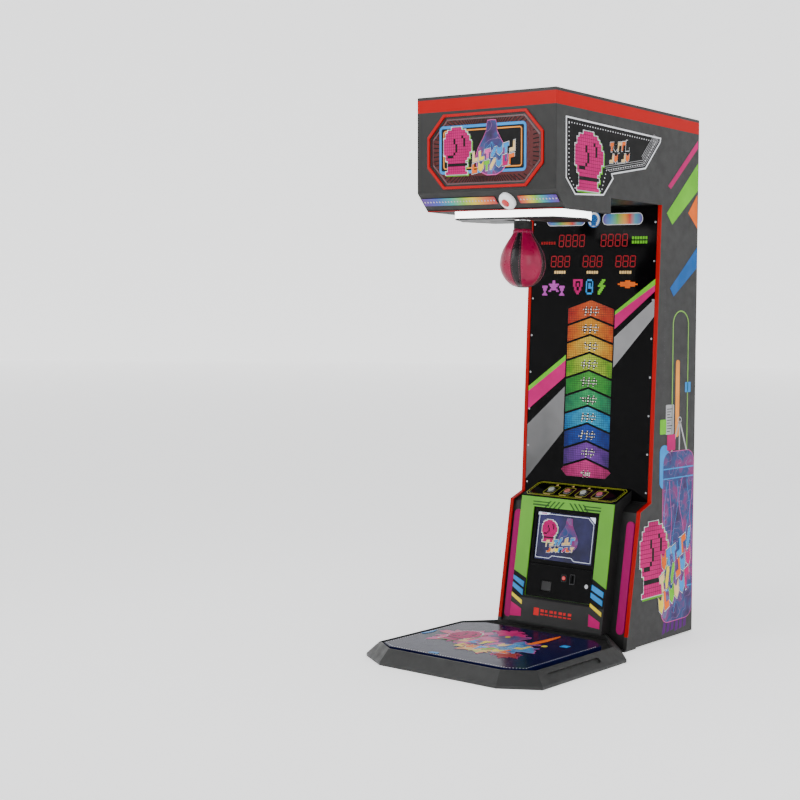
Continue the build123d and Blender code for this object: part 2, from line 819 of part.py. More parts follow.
with BuildPart() as punching_bag:
    bulb_z = bag_top_z - bag_length + bag_radius
    join = bag_radius * math.sqrt(0.5)
    with BuildSketch(bag_centre):
        with BuildLine():
            bulb = ThreePointArc((0, bulb_z - bag_radius), (bag_radius, bulb_z), (join, bulb_z + join))
            TangentArc((join, bulb_z + join), (bag_neck_radius, bag_top_z), tangent=(-1, 1))
            Line((bag_neck_radius, bag_top_z), (0, bag_top_z))
            Line((0, bag_top_z), (0, bulb_z - bag_radius))
        make_face()
    revolve(axis=bag_axis)
finish(punching_bag, "punching_bag")

with BuildPart() as swing_sensor:
    sensor_x = cheek_x + bush_length - 4.0 + 0.5
    with BuildSketch(Plane.YZ.offset(sensor_x)):
        with Locations((bag_y, pivot_z)):
            Circle(sensor_radius)
            Rectangle(8.0, 2 * sensor_radius + 10.0)
        with Locations((bag_y, pivot_z)):
            Circle(shaft_radius + 1.0, mode=Mode.SUBTRACT)
    extrude(amount=shaft_end - sensor_x + 3.0)
    with BuildSketch(Plane.YZ.offset(shaft_end + 3.0)):
        with Locations((bag_y, pivot_z)):
            Circle(sensor_radius)
    extrude(amount=sensor_length - 3.0)
    with BuildSketch(Plane.YZ.offset(cheek_x + bracket_thickness)):
        with Locations((bag_y, pivot_z + sensor_radius + 1.0), (bag_y, pivot_z - sensor_radius - 1.0)):
            Rectangle(8.0, 8.0)
    extrude(amount=sensor_x - cheek_x - bracket_thickness)
finish(swing_sensor, "swing_sensor")

with BuildPart() as latch_hook:
    with BuildSketch(Plane.YZ.offset(-hook_thickness / 2)):
        with Locations((hook_y, hook_pin_z)):
            Circle(hook_pin_radius + 5.0)
        with Locations((hook_y + 2.0, (hook_pin_z + hook_low_z) / 2)):
            Rectangle(9.0, hook_pin_z - hook_low_z)
        with Locations((hook_y + 7.0, hook_low_z + 4.0)):
            Rectangle(17.0, 8.0)
    extrude(amount=hook_thickness)
    with BuildSketch(Plane.YZ.offset(-hook_thickness / 2 - 6.0)):
        with Locations((hook_y, hook_pin_z)):
            Circle(hook_pin_radius)
    extrude(amount=hook_thickness + 26.0)
finish(latch_hook, "latch_hook")

with BuildPart() as latch_solenoid:
    with BuildSketch(Plane.YZ.offset(hook_thickness / 2 + 6.0)):
        with Locations((hook_y, hook_pin_z)):
            Circle(solenoid_radius)
    extrude(amount=solenoid_length)
    with BuildSketch(Plane.YZ.offset(hook_thickness / 2 + 6.0)):
        with Locations((hook_y, hook_pin_z)):
            Circle(hook_pin_radius + running_clearance)
    extrude(amount=18.0, mode=Mode.SUBTRACT)
finish(latch_solenoid, "latch_solenoid")

# ======== column front ========
tile_first = column_run - tile_top_drop
tile_last = tile_base_rise + (console_back_top_z - waist_z)
tile_pitch = (tile_first - tile_last) / (tile_count - 1)
digit4_s = column_run - digit4_drop
digit3_s = column_run - digit3_drop


def tile_outline(peak, grow):
    """A chevron with its peak at a height on the panel, made larger by grow all round."""
    half = tile_half_width + grow
    up = peak + grow
    low = peak - tile_height - grow
    return [
        (0, up), (half, up - tile_slope), (half, low - tile_slope),
        (0, low), (-half, low - tile_slope), (-half, up - tile_slope),
    ]


def last_tile_outline(peak, grow):
    """The lowest mark: a flat wide arrow head, made larger by grow all round."""
    tip = tile_half_width + 13.0 + grow
    foot = tile_half_width - 17.0 + grow
    return [
        (0, peak + grow), (tip, peak - 50.0), (foot, peak - 77.0 - grow),
        (-foot, peak - 77.0 - grow), (-tip, peak - 50.0),
    ]


def tile_sketch(grow):
    """All the score marks as faces of the sketch that is being built."""
    for index in range(tile_count - 1):
        Polygon(*tile_outline(tile_first - index * tile_pitch, grow), align=None)
    Polygon(*last_tile_outline(tile_last, grow), align=None)


def digit_sketch(grow):
    """The two four-digit and the three three-digit displays as rectangles of the sketch."""
    with Locations((-digit4_spread, digit4_s), (digit4_spread, digit4_s)):
        Rectangle(digit4_width + 2 * grow, digit4_height + 2 * grow)
    with Locations((-digit3_pitch, digit3_s), (0, digit3_s), (digit3_pitch, digit3_s)):
        Rectangle(digit3_width + 2 * grow, digit3_height + 2 * grow)


with BuildPart() as column_front_panel:
    with BuildSketch(column_face):
        with Locations((0, column_run / 2 + panel_seam)):
            Rectangle(2 * inner_half, column_run)
    extrude(amount=-column_sheet)
    with BuildSketch(column_face):
        tile_sketch(inlay_clearance)
        digit_sketch(inlay_clearance)
    extrude(amount=-column_sheet, mode=Mode.SUBTRACT)
    with BuildSketch(Plane.XY.offset(underside_z)):
        with Locations((0, column_top_y)):
            Rectangle(3 * inner_half, 200.0)
    extrude(amount=100.0, mode=Mode.SUBTRACT)
finish(column_front_panel, "column_front_panel")

with BuildPart() as digit_displays:
    with BuildSketch(column_face.offset(-1.0)):
        digit_sketch(0)
    extrude(amount=-display_depth)
finish(digit_displays, "digit_displays")

with BuildPart() as score_tiles:
    with BuildSketch(column_face.offset(-column_sheet - 2.0)):
        tile_sketch(0)
    extrude(amount=column_sheet + 2.0)
finish(score_tiles, "score_tiles")

screw_x = inner_half - 11.0
screw_rows = 8
with BuildPart() as panel_screws:
    for row in range(screw_rows):
        height = 40.0 + row * (column_run - 110.0) / (screw_rows - 1)
        with BuildSketch(column_face):
            with Locations((-screw_x, height), (screw_x, height)):
                Circle(4.0)
                RegularPolygon(1.8, 6, mode=Mode.SUBTRACT)
        extrude(amount=1.6)
finish(panel_screws, "panel_screws")

# ======== console ========
console_plane_foot = inset_chain([toe, knee], -console_projection)
console_front = leaning_plane(
    on_line(console_base_z, *console_plane_foot), console_base_z, foot_lean
)
front_top_y = on_line(console_front_top_z, *console_plane_foot)
column_line = inset_chain([waist, column_top], column_recess)
back_top_y = on_line(console_back_top_z, *column_line)
top_slope = math.degrees(math.atan2(console_back_top_z - console_front_top_z, back_top_y - front_top_y))
top_run = math.hypot(console_back_top_z - console_front_top_z, back_top_y - front_top_y)
console_top = leaning_plane(front_top_y, console_front_top_z, 90.0 - top_slope)
console_run = (console_front_top_z - console_base_z) / math.cos(math.radians(foot_lean))
body_line = inset_chain([toe, knee], green_sheet - console_projection)
cavity_line = inset_chain([toe, knee], console_wall + green_sheet - console_projection)
top_drop = top_sheet / math.cos(math.radians(top_slope))
cavity_drop = (top_sheet + console_wall) / math.cos(math.radians(top_slope))
body_top_y = on_line(console_front_top_z - top_drop, *body_line)
back_low_y = on_line(console_back_top_z - top_drop, *column_line)
frame_run = console_run - top_drop / math.cos(math.radians(foot_lean)) - 0.8
lower_line = inset_chain([toe, knee, waist], lower_recess)
waist_face_y = on_line(waist_z, *column_line)
window_width = 2 * console_half - 2 * green_frame - 10.0
window_top = console_run - recess_top_drop
window_centre = window_top - recess_height / 2
button_s = top_run * 0.45

bezel_zone = screen_drop + screen_height + 16.0
bezel_centre = window_top - bezel_zone / 2
screen_centre = window_top - screen_drop - screen_height / 2
bezel_face = console_front.offset(-6.0)
door_half = window_width / 2 - door_gap
door_centre = window_top - bezel_zone - door_gap - coin_door_height / 2
hinge_local_x = -door_half + coin_door_thickness / 2
coin_face = console_front.offset(-2.0)
pin_depth = 12.0
hinge_back = coin_face.offset(-coin_door_thickness / 2)


def pin_plane(height):
    """A plane across the coin door's hinge line at a height on the console front."""
    return Plane(
        origin=hinge_back.from_local_coords((hinge_local_x, height, 0)),
        x_dir=(1, 0, 0),
        z_dir=console_front.y_dir,
    )


with BuildPart() as console_body:
    with BuildSketch(Plane.YZ):
        Polygon(
            (on_line(console_base_z, *body_line), console_base_z),
            (body_top_y, console_front_top_z - top_drop),
            (back_low_y, console_back_top_z - top_drop),
            (waist_face_y, waist_z),
            lower_line[1],
            (on_line(console_base_z, *lower_line[:2]), console_base_z),
            align=None,
        )
    extrude(amount=console_half, both=True)
    with BuildSketch(Plane.YZ):
        cavity_top_y = on_line(console_front_top_z - cavity_drop, *cavity_line)
        rise = (console_back_top_z - console_front_top_z) / (back_top_y - front_top_y)
        beyond = 120.0
        Polygon(
            (on_line(console_base_z + console_wall, *cavity_line), console_base_z + console_wall),
            (cavity_top_y, console_front_top_z - cavity_drop),
            (back_top_y + beyond, console_front_top_z - cavity_drop + rise * (back_top_y + beyond - cavity_top_y)),
            (back_top_y + beyond, console_base_z + console_wall),
            align=None,
        )
    extrude(amount=console_half - console_wall, both=True, mode=Mode.SUBTRACT)
    with BuildSketch(console_front):
        with Locations((0, window_centre)):
            Rectangle(window_width, recess_height)
    extrude(amount=-3 * console_wall, mode=Mode.SUBTRACT)
    with BuildSketch(console_top):
        with Locations((0, button_s)):
            with GridLocations(button_pitch, 0, button_count, 1):
                Circle(button_radius + 2.0)
    extrude(amount=-3 * console_wall, mode=Mode.SUBTRACT)
    with BuildSketch(pin_plane(window_top - recess_height)):
        Circle(pin_radius)
    extrude(amount=pin_depth)
finish(console_body, "console_body")

with BuildPart() as console_front_frame:
    with BuildSketch(console_front):
        with Locations((0, frame_run / 2)):
            Rectangle(2 * console_half, frame_run)
        with Locations((0, window_centre)):
            Rectangle(window_width, recess_height, mode=Mode.SUBTRACT)
    extrude(amount=-green_sheet)
finish(console_front_frame, "console_front_frame")

with BuildPart() as console_top_panel:
    with BuildSketch(Plane.YZ):
        Polygon(
            (front_top_y, console_front_top_z),
            (back_top_y, console_back_top_z),
            (back_low_y, console_back_top_z - top_drop),
            (on_line(console_front_top_z - top_drop, *console_plane_foot), console_front_top_z - top_drop),
            align=None,
        )
    extrude(amount=console_half, both=True)
    with BuildSketch(console_top):
        with Locations((0, button_s)):
            with GridLocations(button_pitch, 0, button_count, 1):
                Circle(button_radius + 0.5)
    extrude(amount=-3 * top_sheet, mode=Mode.SUBTRACT)
finish(console_top_panel, "console_top_panel")

with BuildPart() as button_bezels:
    with BuildSketch(console_top):
        with Locations((0, button_s)):
            with GridLocations(button_pitch, 0, button_count, 1):
                Circle(bezel_radius)
                Circle(button_radius + 0.5, mode=Mode.SUBTRACT)
    extrude(amount=bezel_height)
    chamfer(button_bezels.edges().filter_by(GeomType.CIRCLE).group_by(SortBy.RADIUS)[-1], 1.0)
finish(button_bezels, "button_bezels")


def push_button(index):
    """One push button: a round cap through the bezel, on a thinner stem."""
    x_centre = (index - (button_count - 1) / 2) * button_pitch
    with BuildPart() as button:
        with BuildSketch(console_top.offset(-top_sheet - 2.0)):
            with Locations((x_centre, button_s)):
                Circle(button_radius)
        extrude(amount=top_sheet + 2.0 + bezel_height + button_travel + 1.0)
        fillet(button.faces().sort_by(Axis(console_top.origin, console_top.z_dir))[-1].edges(), 2.0)
        with BuildSketch(console_top.offset(-top_sheet - 2.0)):
            with Locations((x_centre, button_s)):
                Circle(button_radius / 2)
        extrude(amount=-10.0)
    return button


for number in range(button_count):
    button_cap = push_button(number)
    finish(button_cap, f"button_{number + 1}")

with BuildPart() as screen_bezel:
    with BuildSketch(bezel_face):
        with Locations((0, bezel_centre)):
            Rectangle(window_width, bezel_zone)
        with Locations((0, screen_centre)):
            Rectangle(screen_width, screen_height, mode=Mode.SUBTRACT)
    extrude(amount=-10.0)
    with BuildSketch(pin_plane(window_top - bezel_zone)):
        Circle(pin_radius)
    extrude(amount=-pin_depth)
finish(screen_bezel, "screen_bezel")

with BuildPart() as screen_unit:
    with BuildSketch(bezel_face.offset(-4.0)):
        with Locations((0, screen_centre)):
            Rectangle(screen_width, screen_height)
    extrude(amount=-6.0)
    with BuildSketch(bezel_face.offset(-10.0)):
        with Locations((0, screen_centre)):
            Rectangle(screen_width + 20.0, screen_height + 20.0)
    extrude(amount=-screen_thickness)
finish(screen_unit, "screen_unit")

slot_s = door_centre + 22.0
return_s = door_centre - 22.0
lock_x = door_half - 30.0
reject_x = slot_x - 46.0
flap_pin_s = return_s + return_height / 2 - 3.0
flap_pin_radius = 1.5
hinge_depth = 0.0
flap_pin_plane = Plane(
    origin=hinge_back.from_local_coords((return_x, 0, 0)),
    x_dir=hinge_back.z_dir,
    z_dir=(-1, 0, 0),
)

with BuildPart() as coin_door:
    with BuildSketch(coin_face):
        with Locations((coin_door_thickness / 4, door_centre)):
            Rectangle(2 * door_half - coin_door_thickness / 2, coin_door_height)
        with Locations((slot_x, slot_s)):
            SlotOverall(slot_height, slot_width, rotation=90, mode=Mode.SUBTRACT)
        with Locations((reject_x, slot_s)):
            Circle(reject_radius + 0.3, mode=Mode.SUBTRACT)
        with Locations((lock_x, door_centre)):
            Circle(lock_radius + running_clearance, mode=Mode.SUBTRACT)
        with Locations((return_x, return_s)):
            Rectangle(return_width, return_height, mode=Mode.SUBTRACT)
    extrude(amount=-coin_door_thickness)
    with BuildSketch(pin_plane(door_centre - coin_door_height / 2)):
        Circle(coin_door_thickness / 2)
    extrude(amount=coin_door_height)
    for height in (door_centre - coin_door_height / 2, door_centre + coin_door_height / 2):
        with BuildSketch(pin_plane(height - pin_depth)):
            Circle(pin_radius + running_clearance)
        extrude(amount=2 * pin_depth, mode=Mode.SUBTRACT)
    with BuildSketch(flap_pin_plane):
        with Locations((hinge_depth, flap_pin_s)):
            Circle(flap_pin_radius + running_clearance)
    extrude(amount=return_width / 2 + flap_pin_length + 1.0, both=True, mode=Mode.SUBTRACT)
finish(coin_door, "coin_door")

with BuildPart() as coin_door_lock:
    with BuildSketch(coin_face):
        with Locations((lock_x, door_centre)):
            Circle(lock_radius)
            Rectangle(1.6, 8.0, mode=Mode.SUBTRACT)
    extrude(amount=-coin_door_thickness - cam_gap)
    with BuildSketch(coin_face.offset(-coin_door_thickness - cam_gap)):
        with Locations((lock_x, door_centre + cam_length / 2 - 8.0)):
            Rectangle(14.0, cam_length)
    extrude(amount=-3.0)
finish(coin_door_lock, "coin_door_lock")

with BuildPart() as coin_reject_button:
    with BuildSketch(coin_face.offset(3.0)):
        with Locations((reject_x, slot_s)):
            Circle(reject_radius)
    extrude(amount=-coin_door_thickness - 5.0)
    fillet(coin_reject_button.edges().group_by(Axis.Y)[0], 1.5)
    with BuildSketch(coin_face.offset(-coin_door_thickness - 0.5)):
        with Locations((reject_x, slot_s)):
            Circle(reject_radius + 3.0)
    extrude(amount=-2.0)
finish(coin_reject_button, "coin_reject_button")

flap_face = coin_face.offset(-coin_door_thickness / 2 + flap_thickness / 2)
flap_drop = return_height - 4.0
with BuildPart() as coin_return_flap:
    with BuildSketch(flap_face):
        with Locations((return_x, flap_pin_s - flap_drop / 2 + flap_thickness / 2)):
            Rectangle(return_width - 2.0, flap_drop)
    extrude(amount=-flap_thickness)
    with BuildSketch(flap_pin_plane):
        with Locations((hinge_depth, flap_pin_s)):
            Circle(flap_pin_radius)
    extrude(amount=return_width / 2 + flap_pin_length, both=True)
finish(coin_return_flap, "coin_return_flap")

door_back = coin_face.offset(-coin_door_thickness)
with BuildPart() as coin_mech:
    with BuildSketch(door_back):
        with Locations((slot_x, slot_s - 16.0)):
            Rectangle(mech_width, mech_height)
    extrude(amount=-mech_depth)
    with BuildSketch(door_back):
        with Locations((slot_x, slot_s - 24.0)):
            Rectangle(slot_width + 4.0, mech_height)
    extrude(amount=-mech_depth + 10.0, mode=Mode.SUBTRACT)
    with BuildSketch(door_back):
        with Locations((return_x, return_s)):
            Rectangle(return_width + 8.0, return_height + 8.0)
    extrude(amount=-cup_depth)
    with BuildSketch(door_back):
        with Locations((return_x, return_s)):
            Rectangle(return_width, return_height)
    extrude(amount=-cup_depth + 4.0, mode=Mode.SUBTRACT)
    with BuildSketch(door_back):
        with Locations(((slot_x + return_x) / 2, slot_s - 50.0)):
            Rectangle(slot_x - return_x - mech_width + 4.0, 16.0)
    extrude(amount=-3.0)
finish(coin_mech, "coin_mech")

with BuildPart() as cash_box:
    with BuildSketch(Plane.XY.offset(cash_z)):
        with Locations((cash_x, cash_front_y + cash_depth / 2)):
            RectangleRounded(cash_width, cash_depth, 6.0)
    extrude(amount=cash_height)
    with BuildSketch(Plane.XY.offset(cash_z + cash_wall)):
        with Locations((cash_x, cash_front_y + cash_depth / 2)):
            RectangleRounded(cash_width - 2 * cash_wall, cash_depth - 2 * cash_wall, 4.0)
    extrude(amount=cash_height, mode=Mode.SUBTRACT)
    with BuildSketch(Plane.XZ.offset(-cash_front_y)):
        with Locations((cash_x, cash_z + cash_height - 22.0)):
            SlotOverall(90.0, 24.0)
    extrude(amount=-cash_wall, mode=Mode.SUBTRACT)
finish(cash_box, "cash_box")

# ======== rear equipment ========
with BuildPart() as cooling_fan:
    with BuildSketch(Plane.XZ.offset(-back_inner_y)):
        with Locations((fan_x, fan_z)):
            RectangleRounded(fan_size, fan_size, 6.0)
            Circle(fan_bore, mode=Mode.SUBTRACT)
    extrude(amount=fan_depth)
    with BuildSketch(Plane.XZ.offset(-back_inner_y)):
        with Locations((fan_x, fan_z)):
            Rectangle(fan_size - 4.0, 6.0)
            Rectangle(6.0, fan_size - 4.0)
            Circle(fan_hub)
    extrude(amount=4.0)
    with BuildSketch(Plane.XZ.offset(-back_inner_y + 4.0)):
        with Locations((fan_x, fan_z)):
            Circle(fan_pin)
    extrude(amount=fan_depth - 8.0)
finish(cooling_fan, "cooling_fan")

blade_length = fan_bore - fan_hub - 1.0
with BuildPart() as fan_rotor:
    with BuildSketch(Plane.XZ.offset(-back_inner_y + 5.0)):
        with Locations((fan_x, fan_z)):
            Circle(fan_hub)
            Circle(fan_pin + running_clearance, mode=Mode.SUBTRACT)
    extrude(amount=fan_depth - 8.0)
    with BuildSketch(Plane.XZ.offset(-back_inner_y + 9.0)):
        with Locations((fan_x, fan_z)):
            with PolarLocations(fan_hub + blade_length / 2 - 2.0, blade_count):
                Rectangle(blade_length, 14.0)
    extrude(amount=3.0)
finish(fan_rotor, "fan_rotor")

with BuildPart() as power_inlet:
    with BuildSketch(Plane.XZ.offset(-back_face_y)):
        with Locations((inlet_x, inlet_z)):
            RectangleRounded(inlet_width + 12.0, inlet_height + 12.0, 4.0)
    extrude(amount=-3.0)
    with BuildSketch(Plane.XZ.offset(-back_face_y)):
        with Locations((inlet_x, inlet_z)):
            Rectangle(inlet_width, inlet_height)
    extrude(amount=inlet_depth)
    with BuildSketch(Plane.XZ.offset(-back_face_y - 3.0)):
        with Locations((inlet_x, socket_z)):
            Rectangle(socket_width, socket_height)
    extrude(amount=inlet_depth - 6.0, mode=Mode.SUBTRACT)
    with BuildSketch(Plane.XZ.offset(-back_face_y - 3.0)):
        with Locations((inlet_x, rocker_z)):
            Rectangle(rocker_width + 1.0, rocker_height + 1.0)
    extrude(amount=rocker_depth + 8.0, mode=Mode.SUBTRACT)
    for shift, lift in ((-8.0, -2.0), (0.0, 3.0), (8.0, -2.0)):
        with BuildSketch(Plane.XZ.offset(-back_face_y + inlet_depth - 8.0)):
            with Locations((inlet_x + shift, socket_z + lift)):
                Rectangle(1.6, 4.0)
        extrude(amount=-14.0)
    with BuildSketch(Plane.YZ.offset(inlet_x - rocker_width / 2 - 3.0)):
        with Locations((rocker_y, rocker_z)):
            Circle(rocker_pin)
    extrude(amount=rocker_width + 6.0)
finish(power_inlet, "power_inlet")

with BuildPart() as rocker_switch:
    with BuildSketch(Plane.YZ.offset(inlet_x - rocker_width / 2)):
        with BuildLine():
            half_rocker = rocker_height / 2 - 1.0
            Polyline(
                (rocker_y + 3.0, rocker_z + half_rocker), (rocker_y - 5.0, rocker_z + half_rocker - 4.0),
                (rocker_y - 5.0, rocker_z - half_rocker + 4.0), (rocker_y + 3.0, rocker_z - half_rocker),
            )
            RadiusArc((rocker_y + 3.0, rocker_z - half_rocker), (rocker_y + 3.0, rocker_z + half_rocker), -60.0)
        make_face()
        with Locations((rocker_y, rocker_z)):
            Circle(rocker_pin + running_clearance, mode=Mode.SUBTRACT)
    extrude(amount=rocker_width)
finish(rocker_switch, "rocker_switch")

with BuildPart() as power_supply:
    with BuildSketch(Plane.XY.offset(floor_z + floor_thickness)):
        with Locations((supply_x, supply_y)):
            RectangleRounded(supply_width, supply_length, 3.0)
    extrude(amount=supply_height)
    with BuildSketch(Plane.XY.offset(floor_z + floor_thickness + supply_height)):
        with Locations((supply_x, supply_y)):
            with GridLocations(16.0, 0, 6, 1):
                SlotOverall(supply_length * 0.6, 6.0, rotation=90)
    extrude(amount=-2.0, mode=Mode.SUBTRACT)
finish(power_supply, "power_supply")

# ======== platform ========
lip_half = platform_width / 2
rear_y = toe_y - foot_clearance
ridge_half = lip_half - border_width
lip_points = [
    (lip_half, front_y + platform_front_cut), (lip_half, rear_y - platform_rear_cut),
    (lip_half - platform_rear_cut, rear_y), (platform_rear_cut - lip_half, rear_y),
    (-lip_half, rear_y - platform_rear_cut), (-lip_half, front_y + platform_front_cut),
    (platform_front_run - lip_half, front_y), (lip_half - platform_front_run, front_y),
]
ridge_rear_cut = platform_rear_cut + 21.0
ridge_front_y = front_y + border_front
ridge_cut_x = platform_front_run - 37.0
ridge_cut_y = platform_front_cut - 12.0
ridge_points = [
    (ridge_half, ridge_front_y + ridge_cut_y), (ridge_half, rear_y - ridge_rear_cut),
    (ridge_half - ridge_rear_cut, rear_y), (ridge_rear_cut - ridge_half, rear_y),
    (-ridge_half, rear_y - ridge_rear_cut), (-ridge_half, ridge_front_y + ridge_cut_y),
    (ridge_cut_x - ridge_half, ridge_front_y), (ridge_half - ridge_cut_x, ridge_front_y),
]


def slope_points(z):
    """The platform's outline at a height between its lip and its ridge."""
    share = (z - platform_lip) / (platform_height - platform_lip)
    return [
        (low[0] + share * (high[0] - low[0]), low[1] + share * (high[1] - low[1]))
        for low, high in zip(lip_points, ridge_points)
    ]


def grip_plane(side):
    """A plane lying on the platform's long side slope, its own x running along it."""
    return Plane(
        origin=(side * (lip_half + ridge_half) / 2, grip_y, (platform_lip + platform_height) / 2),
        x_dir=(0, 1, 0),
        z_dir=(side * (platform_height - platform_lip), 0, border_width),
    )


deck_low_z = deck_z - deck_thickness
with BuildPart() as platform_frame:
    with BuildSketch():
        Polygon(*lip_points, align=None)
    extrude(amount=platform_lip)
    with BuildSketch(Plane.XY.offset(platform_lip)):
        Polygon(*lip_points, align=None)
    with BuildSketch(Plane.XY.offset(platform_height)):
        Polygon(*ridge_points, align=None)
    loft(ruled=True)
    with BuildSketch(Plane.XY.offset(deck_z)):
        Polygon(*ridge_points, align=None)
        offset(amount=-rim, kind=Kind.INTERSECTION, mode=Mode.REPLACE)
    extrude(amount=platform_height - deck_z, mode=Mode.SUBTRACT)
    with BuildSketch():
        Polygon(*lip_points, align=None)
        offset(amount=-shell_wall, kind=Kind.INTERSECTION, mode=Mode.REPLACE)
    with BuildSketch(Plane.XY.offset(deck_low_z)):
        Polygon(*slope_points(deck_low_z), align=None)
        offset(amount=-shell_wall, kind=Kind.INTERSECTION, mode=Mode.REPLACE)
    loft(ruled=True, mode=Mode.SUBTRACT)
    for rib_x in (-rib_pitch, 0.0, rib_pitch):
        with BuildSketch(Plane.XY.offset(4.0)):
            with Locations((rib_x, (front_y + rear_y) / 2)):
                Rectangle(6.0, rear_y - front_y - 4 * shell_wall + 20.0)
        extrude(amount=deck_low_z - 4.0)
    for side in (-1, 1):
        with BuildSketch(grip_plane(side)):
            SlotOverall(grip_length, grip_width)
        extrude(amount=-grip_depth, mode=Mode.SUBTRACT)
    for side in (-1, 1):
        with BuildSketch():
            with Locations((side * (half_width - tongue_width / 2), rear_y + tongue_length / 2 - 4.0)):
                Rectangle(tongue_width, tongue_length + 8.0)
        extrude(amount=base_gap)
finish(platform_frame, "platform_frame")

board_half = ridge_half - board_gap_side
board_front_y = ridge_front_y + board_gap_front
board_rear_y = rear_y - board_gap_rear
with BuildPart() as platform_board:
    with BuildSketch(Plane.XY.offset(deck_z)):
        Polygon(
            (board_half, board_front_y + board_cut_y), (board_half, board_rear_y - board_rear_cut_y),
            (board_half - board_rear_cut, board_rear_y), (board_rear_cut - board_half, board_rear_y),
            (-board_half, board_rear_y - board_rear_cut_y), (-board_half, board_front_y + board_cut_y),
            (board_front_cut - board_half, board_front_y), (board_half - board_front_cut, board_front_y),
            align=None,
        )
    extrude(amount=platform_height + board_rise - deck_z)
    fillet(platform_board.edges().filter_by(Axis.Z), 6.0)
    chamfer(platform_board.edges().group_by(Axis.Z)[-1], 1.5)
finish(platform_board, "platform_board")
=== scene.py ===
import math

import bpy
import numpy as np
from mathutils import Matrix, Vector


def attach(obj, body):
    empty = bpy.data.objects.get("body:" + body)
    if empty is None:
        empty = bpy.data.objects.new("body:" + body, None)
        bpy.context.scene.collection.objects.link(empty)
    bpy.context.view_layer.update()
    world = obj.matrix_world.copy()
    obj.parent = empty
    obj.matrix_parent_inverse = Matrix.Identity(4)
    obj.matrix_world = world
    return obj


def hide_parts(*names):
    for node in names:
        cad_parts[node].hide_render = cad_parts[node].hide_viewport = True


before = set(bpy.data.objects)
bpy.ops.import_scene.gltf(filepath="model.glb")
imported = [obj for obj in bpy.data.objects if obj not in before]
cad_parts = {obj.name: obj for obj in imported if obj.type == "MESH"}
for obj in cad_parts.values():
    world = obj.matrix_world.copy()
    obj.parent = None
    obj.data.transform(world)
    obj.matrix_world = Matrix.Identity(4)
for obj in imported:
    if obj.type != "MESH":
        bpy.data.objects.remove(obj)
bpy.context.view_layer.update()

# ---- camera: level with the chest of a standing adult, a little to the right ----
yaw = math.radians(30.57)
pitch = math.radians(4.78)
roll = math.radians(1.17)
look = Vector((-math.sin(yaw) * math.cos(pitch), math.cos(yaw) * math.cos(pitch), -math.sin(pitch)))
level = Vector((math.cos(yaw), math.sin(yaw), 0.0))
upright = level.cross(look)
across = math.cos(roll) * level + math.sin(roll) * upright
above = -math.sin(roll) * level + math.cos(roll) * upright
lens = bpy.data.cameras.new("camera")
lens.sensor_width = 36.0
lens.lens = 62.5
lens.shift_x = -0.4733
lens.shift_y = 0.044
lens.clip_end = 120.0
eye = bpy.data.objects.new("camera", lens)
turn = Matrix((across, above, -look)).transposed().to_4x4()
turn.translation = Vector((3.7865, -4.4656, 1.3978))
eye.matrix_world = turn
bpy.context.scene.collection.objects.link(eye)
bpy.context.scene.camera = eye

# ---- the machine's flat faces: a corner, and the directions across and up each ----
MM = 0.001
column_lean = math.atan2(50, 1254)
foot_lean = math.atan2(88, 574)
foot_y = 126 + 60 * 88 / 574 - 45 / math.cos(foot_lean)
deck_y = 126 + 605 * 88 / 574 - 45 / math.cos(foot_lean)
deck_lean = math.atan2(49, 291.9 - deck_y)
chamfer_len = math.hypot(57, 70)
X = (1, 0, 0)
HEAD_FRONT_Y, SIDE_X, BACK_Y, BOARD_Z = -348, 357, 598, 66
FACES = {
    "marquee": ((0, HEAD_FRONT_Y, 0), X, (0, 0, 1)),
    "right": ((SIDE_X, 0, 0), (0, 1, 0), (0, 0, 1)),
    "left": ((-SIDE_X, 0, 0), (0, -1, 0), (0, 0, 1)),
    "rear": ((0, BACK_Y, 0), (-1, 0, 0), (0, 0, 1)),
    "column": ((0, 288 + 2 * math.cos(column_lean), 610 - 2 * math.sin(column_lean)), X,
               (0, math.sin(column_lean), math.cos(column_lean))),
    "console": ((0, foot_y, BOARD_Z), X, (0, math.sin(foot_lean), math.cos(foot_lean))),
    "deck": ((0, deck_y, 611), X, (0, math.cos(deck_lean), math.sin(deck_lean))),
    "board": ((0, 0, BOARD_Z), X, (0, 1, 0)),
    "chamfer": ((0, -291, 1801), X, (0, -57 / chamfer_len, 70 / chamfer_len)),
}


# ---- materials ----
def shader(name):
    """A new material with its node tree, its surface shader, and a maker of further nodes."""
    mat = bpy.data.materials.new(name)
    mat.use_nodes = True
    tree = mat.node_tree
    return mat, tree, tree.nodes["Principled BSDF"]


def settle(made, **values):
    """Set sockets to constants, by socket name."""
    for key, value in values.items():
        made.inputs[key.replace("_", " ")].default_value = value


def node(tree, kind, **sockets):
    """Add a node and set its sockets or join them to others, by socket name."""
    made = tree.nodes.new(kind)
    for key, value in sockets.items():
        socket = made.inputs[int(key[1:])] if key[0] == "i" and key[1:].isdigit() else made.inputs[key.replace("_",
            " ")]
        if isinstance(value, bpy.types.NodeSocket):
            tree.links.new(value, socket)
        else:
            socket.default_value = value
    return made


def sums(tree, operation, first, second=0.0, third=0.0):
    """One arithmetic step on numbers or sockets."""
    made = node(tree, "ShaderNodeMath", i0=first, i1=second, i2=third)
    made.operation = operation
    return made.outputs[0]


def blended(tree, share, first, second, mode="MIX"):
    """Two colours mixed by a share."""
    made = tree.nodes.new("ShaderNodeMix")
    made.data_type = "RGBA"
    made.blend_type = mode
    for index, value in ((0, share), (6, first), (7, second)):
        if isinstance(value, bpy.types.NodeSocket):
            tree.links.new(value, made.inputs[index])
        else:
            made.inputs[index].default_value = value
    return made.outputs[2]


def rgb(colour, gain=1.0):
    return (colour[0] * gain, colour[1] * gain, colour[2] * gain, 1.0)


